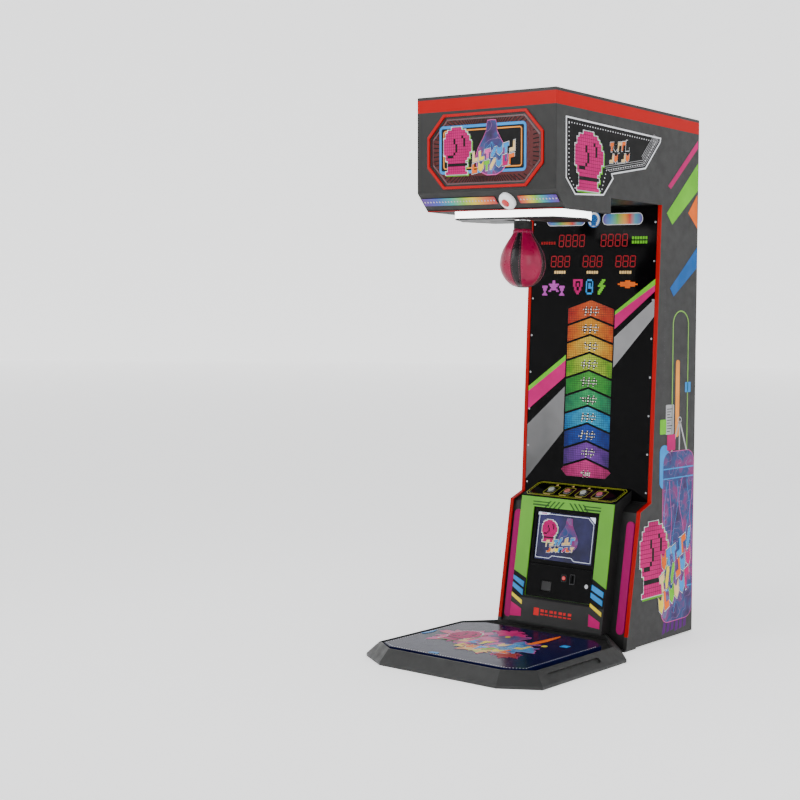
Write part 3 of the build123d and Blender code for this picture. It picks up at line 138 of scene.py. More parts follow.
def place(tree):
    """The point on the piece, in metres of the machine's own frame."""
    return tree.nodes.new("ShaderNodeTexCoord").outputs["Object"]


def noise(tree, where, scale, detail=3.0, rough=0.5):
    made = node(tree, "ShaderNodeTexNoise", Vector=where, Scale=scale, Detail=detail, Roughness=rough)
    return made.outputs["Fac"]


def spread(tree, value, low, high, out_low, out_high):
    made = node(tree, "ShaderNodeMapRange", i0=value, i1=low, i2=high, i3=out_low, i4=out_high)
    return made.outputs[0]


def bump(tree, shade, height, strength, distance=0.001):
    made = node(tree, "ShaderNodeBump", Height=height, Strength=strength, Distance=distance)
    tree.links.new(made.outputs[0], shade.inputs["Normal"])


def coating(name, colour, rough=0.45, metal=0.0, grain=900.0, depth=0.15, mottle=0.12, glow=0.0, coat=0.0, cloud=9.0,
        dust=0.0, shine=0.5):
    """Paint, plastic or plate: a colour that wanders a little, a fine grain, and gloss that varies."""
    mat, tree, shade = shader(name)
    where = place(tree)
    broad = noise(tree, where, cloud, 4.0)
    fine = noise(tree, where, grain, 2.0)
    tint = blended(tree, spread(tree, broad, 0.35, 0.65, 0.0, 1.0), rgb(colour, 1 - mottle), rgb(colour, 1 + mottle))
    if dust:
        tint = blended(tree, spread(tree, noise(tree, where, 3.5, 6.0, 0.7), 0.5, 0.8, 0.0, dust), tint, rgb((0.35,
            0.34, 0.32)))
    tree.links.new(tint, shade.inputs["Base Color"])
    tree.links.new(spread(tree, noise(tree, where, 30.0, 5.0), 0.3, 0.7, rough * 0.82, min(1.0, rough * 1.18)),
        shade.inputs["Roughness"])
    settle(shade, Metallic=metal, Specular_IOR_Level=shine, Coat_Weight=coat, Coat_Roughness=0.06)
    if depth:
        bump(tree, shade, fine, depth, 0.0004)
    if glow:
        tree.links.new(tint, shade.inputs["Emission Color"])
        settle(shade, Emission_Strength=glow)
    return mat


def lamp_plastic(name, colour, glow, rough=0.3):
    """A lit diffuser: a saturated colour, a faint row of lamp hot spots, and a soft plastic surface."""
    mat, tree, shade = shader(name)
    where = place(tree)
    tint = rgb(colour)
    soft = spread(tree, noise(tree, where, 14.0, 2.0), 0.3, 0.7, 0.0, 0.12)
    mixed = blended(tree, soft, tint, rgb((min(1, colour[0] * 1.25), min(1, colour[1] * 1.4), min(1,
        colour[2] * 1.3))))
    tree.links.new(mixed, shade.inputs["Base Color"])
    settle(shade, Specular_IOR_Level=0.08)
    tree.links.new(mixed, shade.inputs["Emission Color"])
    settle(shade, Emission_Strength=glow, Roughness=rough)
    bump(tree, shade, noise(tree, where, 1200.0, 1.0), 0.08, 0.0003)
    return mat


def rainbow(name, stops, axis, start, end, glow=0.9):
    """A row of coloured lamps behind one strip: hue follows the distance along the strip."""
    mat, tree, shade = shader(name)
    parts = node(tree, "ShaderNodeSeparateXYZ", Vector=place(tree))
    along = spread(tree, parts.outputs[axis], start, end, 0.0, 1.0)
    ramp = tree.nodes.new("ShaderNodeValToRGB")
    tree.links.new(along, ramp.inputs[0])
    while len(ramp.color_ramp.elements) < len(stops):
        ramp.color_ramp.elements.new(0.5)
    for item, (at, colour) in zip(ramp.color_ramp.elements, stops):
        item.position = at
    for item, (at, colour) in zip(ramp.color_ramp.elements, stops):
        item.color = rgb(colour, 0.62)
    tree.links.new(ramp.outputs[0], shade.inputs["Base Color"])
    tree.links.new(ramp.outputs[0], shade.inputs["Emission Color"])
    settle(shade, Emission_Strength=glow, Roughness=0.25)
    bump(tree, shade, noise(tree, place(tree), 900.0, 1.0), 0.05, 0.0003)
    return mat


def mosaic(name, middle, edge, glow=0.5, pitch=0.0098, half=0.125, ink=(0.01, 0.01, 0.01)):
    """A printed tile: bright in the middle, deeper to its sides, ruled by thin dark lines in small squares."""
    mat, tree, shade = shader(name)
    where = place(tree)
    parts = node(tree, "ShaderNodeSeparateXYZ", Vector=where)
    away = sums(tree, "ABSOLUTE", parts.outputs[0])
    wobble = spread(tree, noise(tree, where, 30.0, 3.0), 0.3, 0.7, -0.25, 0.25)
    share = sums(tree, "ADD", spread(tree, away, 0.0, half, 0.0, 1.0), wobble)
    tint = blended(tree, share, rgb(middle, 0.8), rgb(edge, 0.8))
    lines = []
    for axis in (0, 2):
        turn_at = sums(tree, "FRACT", sums(tree, "DIVIDE", sums(tree, "ADD", parts.outputs[axis], 10.0), pitch))
        lines.append(sums(tree, "LESS_THAN", sums(tree, "ABSOLUTE", sums(tree, "SUBTRACT", turn_at, 0.5)), 0.085))
    ruled = sums(tree, "MAXIMUM", lines[0], lines[1])
    faded = sums(tree, "MULTIPLY", ruled, spread(tree, noise(tree, where, 22.0, 2.0), 0.35, 0.6, 0.45, 0.95))
    tint = blended(tree, faded, tint, rgb(ink))
    tree.links.new(blended(tree, 0.55, tint, rgb(ink)), shade.inputs["Base Color"])
    tree.links.new(tint, shade.inputs["Emission Color"])
    settle(shade, Emission_Strength=glow, Roughness=0.35, Specular_IOR_Level=0.08)
    return mat


def cloudy_print(name, colours, scale=5.0, glow=0.1, rough=0.4, lines=True, seed=0.0):
    """A printed picture of drifting colour: soft patches of several inks with thin pale contour lines."""
    mat, tree, shade = shader(name)
    where = node(tree, "ShaderNodeMapping", Vector=place(tree), Location=(seed, seed * 0.7, seed * 0.3)).outputs[0]
    drift = noise(tree, where, scale, 5.0, 0.55)
    ramp = tree.nodes.new("ShaderNodeValToRGB")
    tree.links.new(drift, ramp.inputs[0])
    while len(ramp.color_ramp.elements) < len(colours):
        ramp.color_ramp.elements.new(0.5)
    for k, (item, colour) in enumerate(zip(ramp.color_ramp.elements, colours)):
        item.position = 0.3 + 0.4 * k / (len(colours) - 1)
    for item, colour in zip(ramp.color_ramp.elements, colours):
        item.color = rgb(colour)
    tint = ramp.outputs[0]
    if lines:
        wave = sums(tree, "FRACT", sums(tree, "MULTIPLY", noise(tree, where, scale * 0.8, 2.0), 9.0))
        thin = sums(tree, "LESS_THAN", wave, 0.06)
        tint = blended(tree, sums(tree, "MULTIPLY", thin, 0.45), tint, rgb((0.28, 0.12, 0.3)))
    tree.links.new(tint, shade.inputs["Base Color"])
    tree.links.new(tint, shade.inputs["Emission Color"])
    settle(shade, Emission_Strength=glow, Roughness=rough, Specular_IOR_Level=0.2)
    bump(tree, shade, noise(tree, place(tree), 1400.0, 1.0), 0.06, 0.0003)
    return mat


def leather(name, colour, rough=0.32):
    """Coated leather: pebbled grain from small cells with painted shade in the low middle of each pebble, slow colour
    wander, creases and a worn sheen.
    """
    mat, tree, shade = shader(name)
    where = place(tree)
    cells = node(tree, "ShaderNodeTexVoronoi", Vector=where, Scale=620.0)
    creases = noise(tree, where, 38.0, 6.0, 0.65)
    tint = blended(tree, spread(tree, noise(tree, where, 18.0, 4.0), 0.3, 0.7, 0.0, 1.0), rgb(colour, 0.82),
        rgb(colour, 1.14))
    # painted shade: the middle of each cell, where the bump sinks lowest, is darkened towards a deeper tone of the
    # colour
    tint = blended(tree, spread(tree, cells.outputs["Distance"], 0.0, 0.5, 0.25, 0.0), tint, rgb(colour, 0.45))
    tree.links.new(tint, shade.inputs["Base Color"])
    tree.links.new(spread(tree, creases, 0.3, 0.7, rough * 0.7, rough * 1.35), shade.inputs["Roughness"])
    height = sums(tree, "ADD", sums(tree, "MULTIPLY", cells.outputs["Distance"], 0.6), sums(tree, "MULTIPLY", creases,
        0.8))
    bump(tree, shade, height, 0.28, 0.0006)
    settle(shade, Coat_Weight=0.1, Coat_Roughness=0.2, Sheen_Weight=0.03, Specular_IOR_Level=0.22)
    return mat


laminate = coating("charcoal_laminate", (0.019, 0.019, 0.0185), 0.5, grain=1500.0, depth=0.25, mottle=0.08,
    dust=0.004, shine=0.25)
head_black = coating("head_black_paint", (0.007, 0.007, 0.0065), 0.42, grain=1200.0, depth=0.2, dust=0.01, shine=0.25)
chamfer_grey = coating("chamfer_grey_paint", (0.014, 0.014, 0.013), 0.45, grain=1200.0, depth=0.2, shine=0.25)
frame_black = coating("kick_panel_paint", (0.009, 0.009, 0.009), 0.42, grain=1100.0, depth=0.25, dust=0.01,
    shine=0.25)
moulding = coating("platform_moulding", (0.013, 0.0135, 0.013), 0.5, grain=700.0, depth=0.45, mottle=0.15, dust=0.02,
    shine=0.35)
gloss_black = coating("gloss_black_acrylic", (0.001, 0.001, 0.0012), 0.12, grain=400.0, depth=0.02, shine=0.05)
navy_gloss = coating("navy_printed_board", (0.003, 0.004, 0.03), 0.2, grain=400.0, depth=0.03, shine=0.035)
cap_black = coating("cap_black", (0.004, 0.004, 0.004), 0.35, grain=900.0, shine=0.3)
zinc = coating("zinc_plate", (0.4, 0.41, 0.43), 0.3, metal=1.0, grain=1500.0, depth=0.2, mottle=0.08)
sheet_grey = coating("grey_sheet_paint", (0.2, 0.21, 0.23), 0.5, metal=0.2, grain=1000.0)
rubber = coating("black_rubber", (0.008, 0.008, 0.008), 0.7, grain=600.0, depth=0.5, dust=0.03, shine=0.3)
plastic = coating("black_plastic", (0.006, 0.006, 0.0065), 0.4, grain=1100.0, depth=0.3, shine=0.3)
white_plastic = coating("white_moulding", (0.75, 0.75, 0.77), 0.25, grain=700.0, depth=0.1, mottle=0.04, glow=0.1,
    coat=0.4)
red_band = lamp_plastic("red_band_light", (0.24, 0.0, 0.0), 0.85)
red_edge = lamp_plastic("red_edge_light", (0.2, 0.0, 0.0), 0.6)
red_neon = lamp_plastic("red_neon_tube", (0.3, 0.003, 0.004), 0.3)
red_lens = coating("red_lens", (0.45, 0.004, 0.006), 0.15, depth=0.02, glow=0.25, coat=0.4)
magenta_light = lamp_plastic("magenta_light", (0.2, 0.0, 0.065), 0.35)
white_band = lamp_plastic("white_band_light", (1.0, 1.0, 1.0), 4.5)
green_print = coating("green_print", (0.075, 0.27, 0.008), 0.38, grain=1100.0, depth=0.12, mottle=0.06, glow=0.12,
    shine=0.3)
magenta_leather = leather("magenta_leather", (0.22, 0.0, 0.032))
black_leather = leather("black_leather", (0.008, 0.006, 0.007), 0.3)
ON_NODE = {
    "side_panel_left": laminate, "side_panel_right": laminate, "back_panel": laminate, "service_door": laminate,
    "head_front_panel": head_black, "chamfer_panel": chamfer_grey, "lower_front_panel": frame_black,
    "head_underside": head_black, "bag_plate": head_black, "top_cap": cap_black, "header_light_band": red_band,
    "edge_lights": red_edge, "magenta_lights": magenta_light, "marquee_neon_frame": red_neon,
    "marquee_light_box": white_plastic, "beacon_ring": white_plastic, "beacon_lens": red_lens,
    "bag_light_band": white_band, "column_front_panel": gloss_black, "digit_displays": gloss_black,
    "console_body": frame_black, "console_front_frame": green_print, "console_top_panel": gloss_black,
    "screen_bezel": gloss_black, "screen_unit": gloss_black, "coin_door": gloss_black, "coin_mech": plastic,
    "coin_door_lock": zinc, "coin_reject_button": red_lens, "coin_return_flap": plastic, "cash_box": sheet_grey,
    "floor_pan": sheet_grey, "pivot_bracket": sheet_grey, "pivot_shaft": zinc, "bag_arm": zinc, "bag_collar": rubber,
    "latch_hook": zinc, "latch_solenoid": zinc, "swing_sensor": plastic, "levelling_feet": zinc, "panel_screws": zinc,
    "transport_wheel_left": rubber, "transport_wheel_right": rubber, "cooling_fan": plastic, "fan_rotor": plastic,
    "power_inlet": plastic, "rocker_switch": red_lens, "power_supply": sheet_grey, "service_door_lock": zinc,
    "platform_frame": moulding, "platform_board": navy_gloss, "button_bezels": plastic, "score_tiles": plastic,
}
CAP_COLOURS = {"button_1": (0.3, 0.33, 0.3), "button_2": (0.32, 0.1, 0.07), "button_3": (0.3, 0.33, 0.3),
    "button_4": (0.34, 0.08, 0.1)}
for name, colour in CAP_COLOURS.items():
    ON_NODE[name] = coating(name + "_cap", colour, 0.25, grain=800.0, depth=0.05, glow=0.08, coat=0.3)
HUES = [(0.0, (0.1, 0.01, 0.28)), (0.2, (0.02, 0.06, 0.45)), (0.4, (0.0, 0.35, 0.3)), (0.55, (0.2, 0.5, 0.02)),
        (0.7, (0.75, 0.55, 0.0)), (0.85, (0.8, 0.15, 0.0)), (1.0, (0.5, 0.0, 0.01))]
ON_NODE["chamfer_lights"] = head_black
for name, mat in ON_NODE.items():
    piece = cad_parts[name]
    piece.data.materials.clear()
    piece.data.materials.append(mat)


# ---- new pieces ----
def build(name, corners, faces, mats):
    """A mesh object from corners in metres and faces, linked to the scene."""
    mesh = bpy.data.meshes.new(name)
    mesh.from_pydata(corners, [], faces)
    for mat in mats:
        mesh.materials.append(mat)
    made = bpy.data.objects.new(name, mesh)
    bpy.context.scene.collection.objects.link(made)
    return made


def add(name, points, faces, mats, body="cabinet", smooth=False):
    """Put a mesh of millimetre points in the scene, riding on one body."""
    made = build(name, (np.asarray(points, float) * MM).tolist(), faces, mats if isinstance(mats, list) else [mats])
    if smooth:
        made.data.polygons.foreach_set("use_smooth", np.ones(len(made.data.polygons), bool))
    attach(made, body)
    return made


def plate(name, face, outlines, mat, lift=0.2, thick=0.4, body="cabinet"):
    """Thin pieces on a face: each outline, turned counter-clockwise, is copied at lift and at lift plus thick along
    the face's normal and its rim is closed with quads."""
    origin, u, v = (np.array(t, float) for t in FACES[face])
    normal = np.cross(u, v)
    points, faces, count = [], [], 0
    for outline in outlines:
        ring = np.asarray(outline, float)
        following = np.roll(ring, -1, 0)
        if np.sum(ring[:, 0] * following[:, 1] - following[:, 0] * ring[:, 1]) < 0:
            ring = ring[::-1]
        n = len(ring)
        flat = origin + ring[:, :1] * u + ring[:, 1:] * v
        points += [flat + normal * lift, flat + normal * (lift + thick)]
        at = np.arange(n)
        after = np.roll(at, -1)
        faces += [(count + n + at).tolist(), (count + at[::-1]).tolist()]
        faces += np.stack([count + at, count + after, count + n + after, count + n + at], 1).tolist()
        count += 2 * n
    return add(name, np.concatenate(points), faces, mat, body)


def both_sides(name, outlines, mat, lift=0.2, thick=0.4):
    """The same print on the right side panel and, mirrored, on the left one."""
    plate(name + "_right", "right", outlines, mat, lift, thick)
    plate(name + "_left", "left", [np.asarray(o, float) * (-1, 1) for o in outlines], mat, lift, thick)


def rect(x0, y0, x1, y1):
    return [(x0, y0), (x1, y0), (x1, y1), (x0, y1)]


def rounded(x0, y0, x1, y1, radius, steps=6):
    """A rectangle with round corners: a quarter circle of points at each corner in turn."""
    angles = np.linspace(0, math.pi / 2, steps + 1)
    arcs = [np.stack([cx + radius * np.cos(angles + turned), cy + radius * np.sin(angles + turned)], 1)
            for cx, cy, turned in ((x1 - radius, y1 - radius, 0), (x0 + radius, y1 - radius, math.pi / 2),
                                   (x0 + radius, y0 + radius, math.pi), (x1 - radius, y0 + radius, 1.5 * math.pi))]
    return np.concatenate(arcs)


def disc(x, y, radius, steps=40):
    angles = np.arange(steps) * 2 * math.pi / steps
    return np.stack([x + radius * np.cos(angles), y + radius * np.sin(angles)], 1)


def inset(ring, width):
    """A closed outline, turned counter-clockwise and moved to its inside by a width, mitred at the corners."""
    ring = np.asarray(ring, float)
    following = np.roll(ring, -1, 0)
    if np.sum(ring[:, 0] * following[:, 1] - following[:, 0] * ring[:, 1]) < 0:
        ring = ring[::-1]
    ahead = np.roll(ring, -1, 0) - ring
    ahead /= np.linalg.norm(ahead, axis=1, keepdims=True)
    behind = np.roll(ahead, 1, 0)
    inward = np.stack([-ahead[:, 1] - behind[:, 1], ahead[:, 0] + behind[:, 0]], 1)
    side = np.stack([-ahead[:, 1], ahead[:, 0]], 1)
    return ring + inward * width / np.sum(inward * side, 1, keepdims=True)


def border(ring, width):
    """Quads that follow a closed outline at a given width to its inside."""
    outer, inner = inset(ring, 0), inset(ring, width)
    return list(np.stack([outer, np.roll(outer, -1, 0), np.roll(inner, -1, 0), inner], 1))


def dots(ring, spacing, radius, steps=8):
    """Small discs spaced evenly along an open or closed line."""
    ring = np.asarray(ring, float)
    legs = np.linalg.norm(np.diff(ring, axis=0), axis=1)
    total = np.concatenate([[0], np.cumsum(legs)])
    along = np.arange(0, total[-1], spacing)
    xs = np.interp(along, total, ring[:, 0])
    ys = np.interp(along, total, ring[:, 1])
    return [disc(x, y, radius, steps) for x, y in zip(xs, ys)]


def pixels(rows, x, y, cell, sign="#", grow=0.0, shift=(0.0, 0.0), tall=0.0, fill=0.97):
    """Oblong chips for each marked cell of a small picture whose top left corner is at x, y."""
    tall = tall or cell
    chips = []
    for down, row in enumerate(rows):
        for right, mark in enumerate(row):
            if mark in sign:
                x0, y0 = x + right * cell + shift[0], y - (down + 1) * tall + shift[1]
                chips.append(rect(x0 - grow, y0 - grow, x0 + cell * fill + grow, y0 + tall * fill + grow))
    return chips


BARS = {"0": "abcdef", "1": "bc", "2": "abged", "3": "abgcd", "4": "fgbc", "5": "afgcd", "6": "afgedc", "7": "abc",
    "8": "abcdefg", "9": "abcdfg"}


def digits(text, x, y, wide, tall, step, stroke, slant=0.1):
    """Seven-bar figures: each bar is a flat hexagon between two corners of the figure, leaning by slant."""
    half = stroke / 2
    ends = {"a": ((0, 1), (1, 1)), "b": ((1, 1), (1, 0.5)), "c": ((1, 0.5), (1, 0)), "d": ((0, 0), (1, 0)),
            "e": ((0, 0.5), (0, 0)), "f": ((0, 1), (0, 0.5)), "g": ((0, 0.5), (1, 0.5))}
    bars = []
    for place_at, figure in enumerate(text):
        for bar in BARS.get(figure, ""):
            first, last = (np.array(p) * (wide, tall) for p in ends[bar])
            ahead = (last - first) / np.linalg.norm(last - first)
            side = np.array((-ahead[1], ahead[0])) * half
            first, last = first + ahead * half * 0.35, last - ahead * half * 0.35
            ring = np.array([first, first + ahead * half + side, last - ahead * half + side, last,
                last - ahead * half - side, first + ahead * half - side])
            ring[:, 0] += x + place_at * step + slant * ring[:, 1]
            ring[:, 1] += y
            bars.append(ring)
    return bars


INK_OF = {}
GLOVE = ["....#####.....",
         "..#########...",
         ".###########..",
         ".############.",
         "#############.",
         "##############",
         "##############",
         "##############",
         "##############",
         "#############.",
         ".############.",
         ".###########..",
         "..#########...",
         "..oooooooooo..",
         "..#########...",
         "..#########...",
         ".###########.."]
SEAM = {(10, 2), (10, 3), (10, 4), (9, 5), (8, 6), (7, 6), (6, 6), (5, 5), (4, 5), (3, 9), (4, 10), (5, 10), (6, 10)}
GLOVE_CUT = ["".join("o" if (down, right) in SEAM else mark for right, mark in enumerate(row)) for down,
    row in enumerate(GLOVE)]


def glove_mark(name, face, x, y, cell, tall, lift):
    """The machine's own mark, a boxing glove in square chips: a green shadow, a white edge, a dark bed and magenta
    chips, each a little higher than the last."""
    layers = (("shade", GLOVE, "#o", 2.0, (cell * 0.55, -tall * 0.5), INK_OF["green"]), ("edge", GLOVE, "#o", 3.2, (0,
        0), INK_OF["white"]),
              ("bed", GLOVE, "#o", 0.0, (0, 0), INK_OF["dark"]), ("chips", GLOVE_CUT, "#", 0.0, (0, 0),
                  INK_OF["magenta"]))
    for k, (part, rows, sign, grow, shift, mat) in enumerate(layers):
        chips = pixels(rows, x, y, cell, sign, grow, shift, tall, 0.9 if part == "chips" else 1.0)
        if face == "sides":
            both_sides(f"{name}_{part}", chips, mat, lift + 0.2 * k, 0.2)
        else:
            plate(f"{name}_{part}", face, chips, mat, lift + 0.2 * k, 0.2)


def lettering(name, face, start, end, sizes, hues, lift, rows=1, drop=0.0, lean=0.25, seed=1):
    """Rows of made-up angular signs along a slanting base line: each is a bent bar pair, edged in white over a dark
    bed."""
    rng = np.random.default_rng(seed)
    start, end = np.array(start, float), np.array(end, float)
    wide, tall = sizes
    ahead = (end - start) / np.linalg.norm(end - start)
    upward = np.array((-ahead[1], ahead[0])) + ahead * lean
    count = int(np.linalg.norm(end - start) // (wide * 1.18))
    rings = {}
    for row in range(rows):
        for k in range(count):
            foot = start + ahead * (k * wide * 1.18 + rng.uniform(-0.05, 0.05) * wide) - np.array((0.0, drop)) * row
            form = SIGNS[int(rng.integers(len(SIGNS)))]
            ring = foot + form[:, :1] * wide * ahead + form[:, 1:] * tall * upward * rng.uniform(0.9, 1.1)
            rings.setdefault(hues[(k + row) % len(hues)], []).append(ring)
    everything = [ring for group in rings.values() for ring in group]
    grown = [ring.mean(0) + (ring - ring.mean(0)) * (1 + 5.0 / wide) for ring in everything]
    put = both_sides if face == "sides" else (lambda n, o, m, l, t: plate(n, face, o, m, l, t))
    put(name + "_edge", grown, INK_OF["white"], lift, 0.15)
    put(name + "_bed", [ring.mean(0) + (ring - ring.mean(0)) * (1 + 2.4 / wide) for ring in everything],
        INK_OF["dark"], lift + 0.2, 0.15)
    for hue, group in rings.items():
        put(f"{name}_{hue}", group, INK_OF[hue], lift + 0.4, 0.15)


SIGNS = [np.array(form, float) for form in (
    [(0, 0), (0.32, 0), (0.32, 0.62), (1, 0.62), (1, 1), (0, 1)], [(0, 0), (1, 0), (1, 0.36), (0.4, 0.36), (0.4, 1),
        (0, 1)],
    [(0, 0), (0.34, 0), (1, 0.7), (1, 1), (0.6, 1), (0, 0.4)], [(0.3, 0), (0.7, 0), (0.7, 0.6), (1, 0.6), (1, 1), (0,
        1), (0, 0.6), (0.3, 0.6)],
    [(0, 0), (1, 0), (1, 1), (0.62, 1), (0.62, 0.38), (0, 0.38)], [(0, 0.3), (0.5, 0), (1, 0.3), (1, 1), (0.62, 0.72),
        (0.38, 0.72), (0, 1)])]

INKS = {"white": (0.6, 0.61, 0.63), "magenta": (0.36, 0.001, 0.1), "green": (0.1, 0.36, 0.012), "pale_green": (0.17,
    0.36, 0.06), "blue": (0.006, 0.08, 0.28),
        "sky": (0.02, 0.2, 0.5), "orange": (0.6, 0.1, 0.004), "yellow": (0.6, 0.47, 0.02), "purple": (0.07, 0.004,
            0.12), "grey": (0.045, 0.045, 0.047),
        "dark": (0.002, 0.002, 0.0022), "red": (0.22, 0.001, 0.002), "pink": (0.5, 0.06, 0.25), "cream": (0.6, 0.4,
            0.16), "silver": (0.3, 0.3, 0.31), "amber": (0.62, 0.22, 0.03)}
ink = {key: coating("print_" + key, colour, 0.42, depth=0.05, mottle=0.14, glow=0.12 if sum(colour) > 0.25 else 0.02,
    shine=0.1) for key, colour in INKS.items()}
INK_OF.update(ink)
ink_white, ink_magenta, ink_green, ink_pale_green = ink["white"], ink["magenta"], ink["green"], ink["pale_green"]
ink_blue, ink_sky, ink_orange, ink_yellow = ink["blue"], ink["sky"], ink["orange"], ink["yellow"]
ink_purple, ink_grey, ink_dark, ink_red = ink["purple"], ink["grey"], ink["dark"], ink["red"]
digit_red = lamp_plastic("digit_red", (0.22, 0.006, 0.012), 0.35)
nebula = cloudy_print("nebula_print", [(0.005, 0.005, 0.02), (0.03, 0.01, 0.08), (0.01, 0.04, 0.14), (0.16, 0.01,
    0.1), (0.03, 0.12, 0.25)], 9.0)
splash = cloudy_print("splash_print", [(0.1, 0.001, 0.02), (0.35, 0.003, 0.06), (0.4, 0.01, 0.18), (0.5, 0.05, 0.02),
    (0.1, 0.01, 0.2)], 14.0, seed=3.0)


# ---- score tiles: a lit print in each arrow, then its figures ----
TILE_HUES = [((0.75, 0.12, 0.015), (0.4, 0.0, 0.002)), ((0.8, 0.33, 0.01), (0.55, 0.05, 0.0)), ((0.85, 0.6, 0.04),
    (0.6, 0.18, 0.0)),
             ((0.5, 0.65, 0.03), (0.1, 0.32, 0.005)), ((0.06, 0.42, 0.04), (0.005, 0.2, 0.02)), ((0.03, 0.4, 0.12),
                 (0.0, 0.15, 0.07)),
             ((0.02, 0.45, 0.7), (0.0, 0.15, 0.4)), ((0.01, 0.07, 0.45), (0.0, 0.01, 0.15)), ((0.2, 0.05, 0.4), (0.05,
                 0.01, 0.16)),
             ((0.7, 0.03, 0.25), (0.3, 0.002, 0.09))]
tile_white = coating("tile_white", (0.7, 0.68, 0.6), 0.4, depth=0.02, glow=0.25)
SCORES = ["950", "850", "750", "650", "550", "450", "350", "250", "150", "50"]
for row, (middle, edge) in enumerate(TILE_HUES):
    top = 854 - row * 77.1
    if row < 9:
        outline = [(0, top), (125, top - 38), (125, top - 38 - 68), (0, top - 68), (-125, top - 38 - 68), (-125,
            top - 38)]
        number_at = top - 46
    else:
        top = 160
        outline = [(0, top), (125, top - 38), (138, top - 50), (108, top - 77), (-108, top - 77), (-138, top - 50),
            (-125, top - 38)]
        number_at = top - 62
    shape = np.array(outline) * 1.0
    centre = shape.mean(0)
    shape = centre + (shape - centre) * (0.99, 0.985)
    plate(f"tile_print_{row}", "column", [shape], mosaic(f"tile_ink_{row}", middle, edge), 0.15, 0.35)
    text = SCORES[row]
    figure = (18, 25, 28, 0.16) if row < 9 else (14, 19, 23, 0.12)
    wide = figure[2] * (len(text) - 1) + figure[0]
    at = (-wide / 2 - 1, number_at - figure[1] / 2 - 1)
    plate(f"tile_figure_backs_{row}", "column", digits(text, *at, figure[0], figure[1], figure[2], 12.5, figure[3]),
        tile_white, 0.55, 0.15)
    plate(f"tile_figures_{row}", "column", digits(text, *at, figure[0], figure[1], figure[2], 6.6, figure[3]),
        ink_dark, 0.75, 0.15)

# ---- lit figures of the displays ----
lit = []
for x in (-116, 116):
    lit += digits("8888", x - 74, 1112 - 26, 25, 50, 38, 4.2, 0.05)
for x in (-178, 0, 178):
    lit += digits("888", x - 53, 1021 - 23, 26, 46, 38, 4.2, 0.05)
plate("display_figures", "column", lit, digit_red, -0.8, 0.4)
# ---- diagonal bands behind the score arrow ----
def band(low, high):
    """A slanting band across the column, left out where the arrow of tiles stands: low and high are (x, s) lines."""
    pieces = []
    for side in (-1, 1):
        x0, x1 = (-337, -131) if side < 0 else (131, 337)
        xs = np.linspace(x0, x1, 8)
        bottom = np.interp(xs, [p[0] for p in low], [p[1] for p in low])
        upper = np.interp(xs, [p[0] for p in high], [p[1] for p in high])
        pieces.append(np.concatenate([np.stack([xs, bottom], 1), np.stack([xs, upper], 1)[::-1]]))
    return pieces


LINE_PALE = [(-339, 466), (-143, 604), (117, 797), (293, 917), (339, 948)]
LINE_GREEN = [(-339, 445), (-142, 581), (118, 784), (336, 921), (339, 923)]
LINE_MAGENTA = [(-339, 362), (-141, 509), (118, 720), (336, 893), (339, 895)]
LINE_GREY = [(-339, 295), (-141, 465), (120, 687), (332, 858), (339, 863)]
LINE_FOOT = [(-341, 48), (-142, 266), (122, 555), (332, 782), (339, 790)]
silver_band, silver_tree, silver_shade = shader("silver_band")
silver_parts = node(silver_tree, "ShaderNodeSeparateXYZ", Vector=place(silver_tree))
silver_fall = sums(silver_tree, "ADD", spread(silver_tree, silver_parts.outputs[2], 0.66, 1.45, 0.1, 0.9),
    spread(silver_tree, noise(silver_tree, place(silver_tree), 7.0, 2.0), 0.3, 0.7, -0.12, 0.12))
silver_tree.links.new(blended(silver_tree, silver_fall, rgb((0.035, 0.035, 0.036)), rgb((0.2, 0.2, 0.205))),
    silver_shade.inputs["Base Color"])
settle(silver_shade, Roughness=0.4, Metallic=0.25)
plate("column_green_band", "column", band(LINE_GREEN, LINE_PALE), ink_green)
plate("column_magenta_band", "column", band(LINE_MAGENTA, LINE_GREEN), ink_magenta)
plate("column_grey_band", "column", band(LINE_FOOT, LINE_GREY), silver_band)

# upper column: title pills, badge, icons and small notices
pills, pill_rims, icons_left, icons_right, notices = [], [], [], [], []
for side in (-1, 1):
    x0, x1 = sorted((side * 50, side * 258))
    pills.append(rounded(x0, 1155 + 24, x1, 1155 + 68, 20))
    pill_rims += border(rounded(x0 - 3, 1155 + 21, x1 + 3, 1155 + 71, 23), 2.4)
s_badge = 1201
PILL_HUES = [(0.0, (0.1, 0.02, 0.3)), (0.18, (0.01, 0.2, 0.5)), (0.36, (0.1, 0.4, 0.05)), (0.55, (0.75, 0.3, 0.01)),
    (0.68, (0.6, 0.02, 0.01)), (0.82, (0.05, 0.3, 0.4)), (1.0, (0.1, 0.02, 0.3))]
plate("column_pill_left", "column", pills[:1], rainbow("rainbow_pill_left", PILL_HUES, 0, -0.26, -0.05, 0.35))
plate("column_pill_right", "column", pills[1:], rainbow("rainbow_pill_right", PILL_HUES, 0, 0.05, 0.26, 0.35))
plate("column_pill_rims", "column", pill_rims, ink_white)
plate("column_badge", "column", [disc(0, s_badge, 35)], ink_white)
plate("column_badge_rim", "column", border(disc(0, s_badge, 35), 4), ink_blue, 0.65, 0.2)
plate("column_badge_glove_chips", "column", pixels(GLOVE, -20, s_badge + 22, 2.9, "#o"), ink_blue, 0.65, 0.2)
ICON_CUP = ["######", "######", ".####.", ".####.", "..##..", "..##..", ".####.", "######"]
ICON_GUARD = ["########", "##....##", "##.##.##", "##.##.##", ".##..##.", ".##..##.", "..####..", "...##..."]
ICON_TIMER = [".####.", "#....#", "#.##.#", "#.##.#", "#.####", "#....#", "#....#", ".####."]
ICON_BOLT = ["...###", "..###.", ".###..", "######", "..###.", ".###..", "###...", "##...."]
ICON_BELT = ["......####......", "..############..", "################", "..############..", "......####......"]
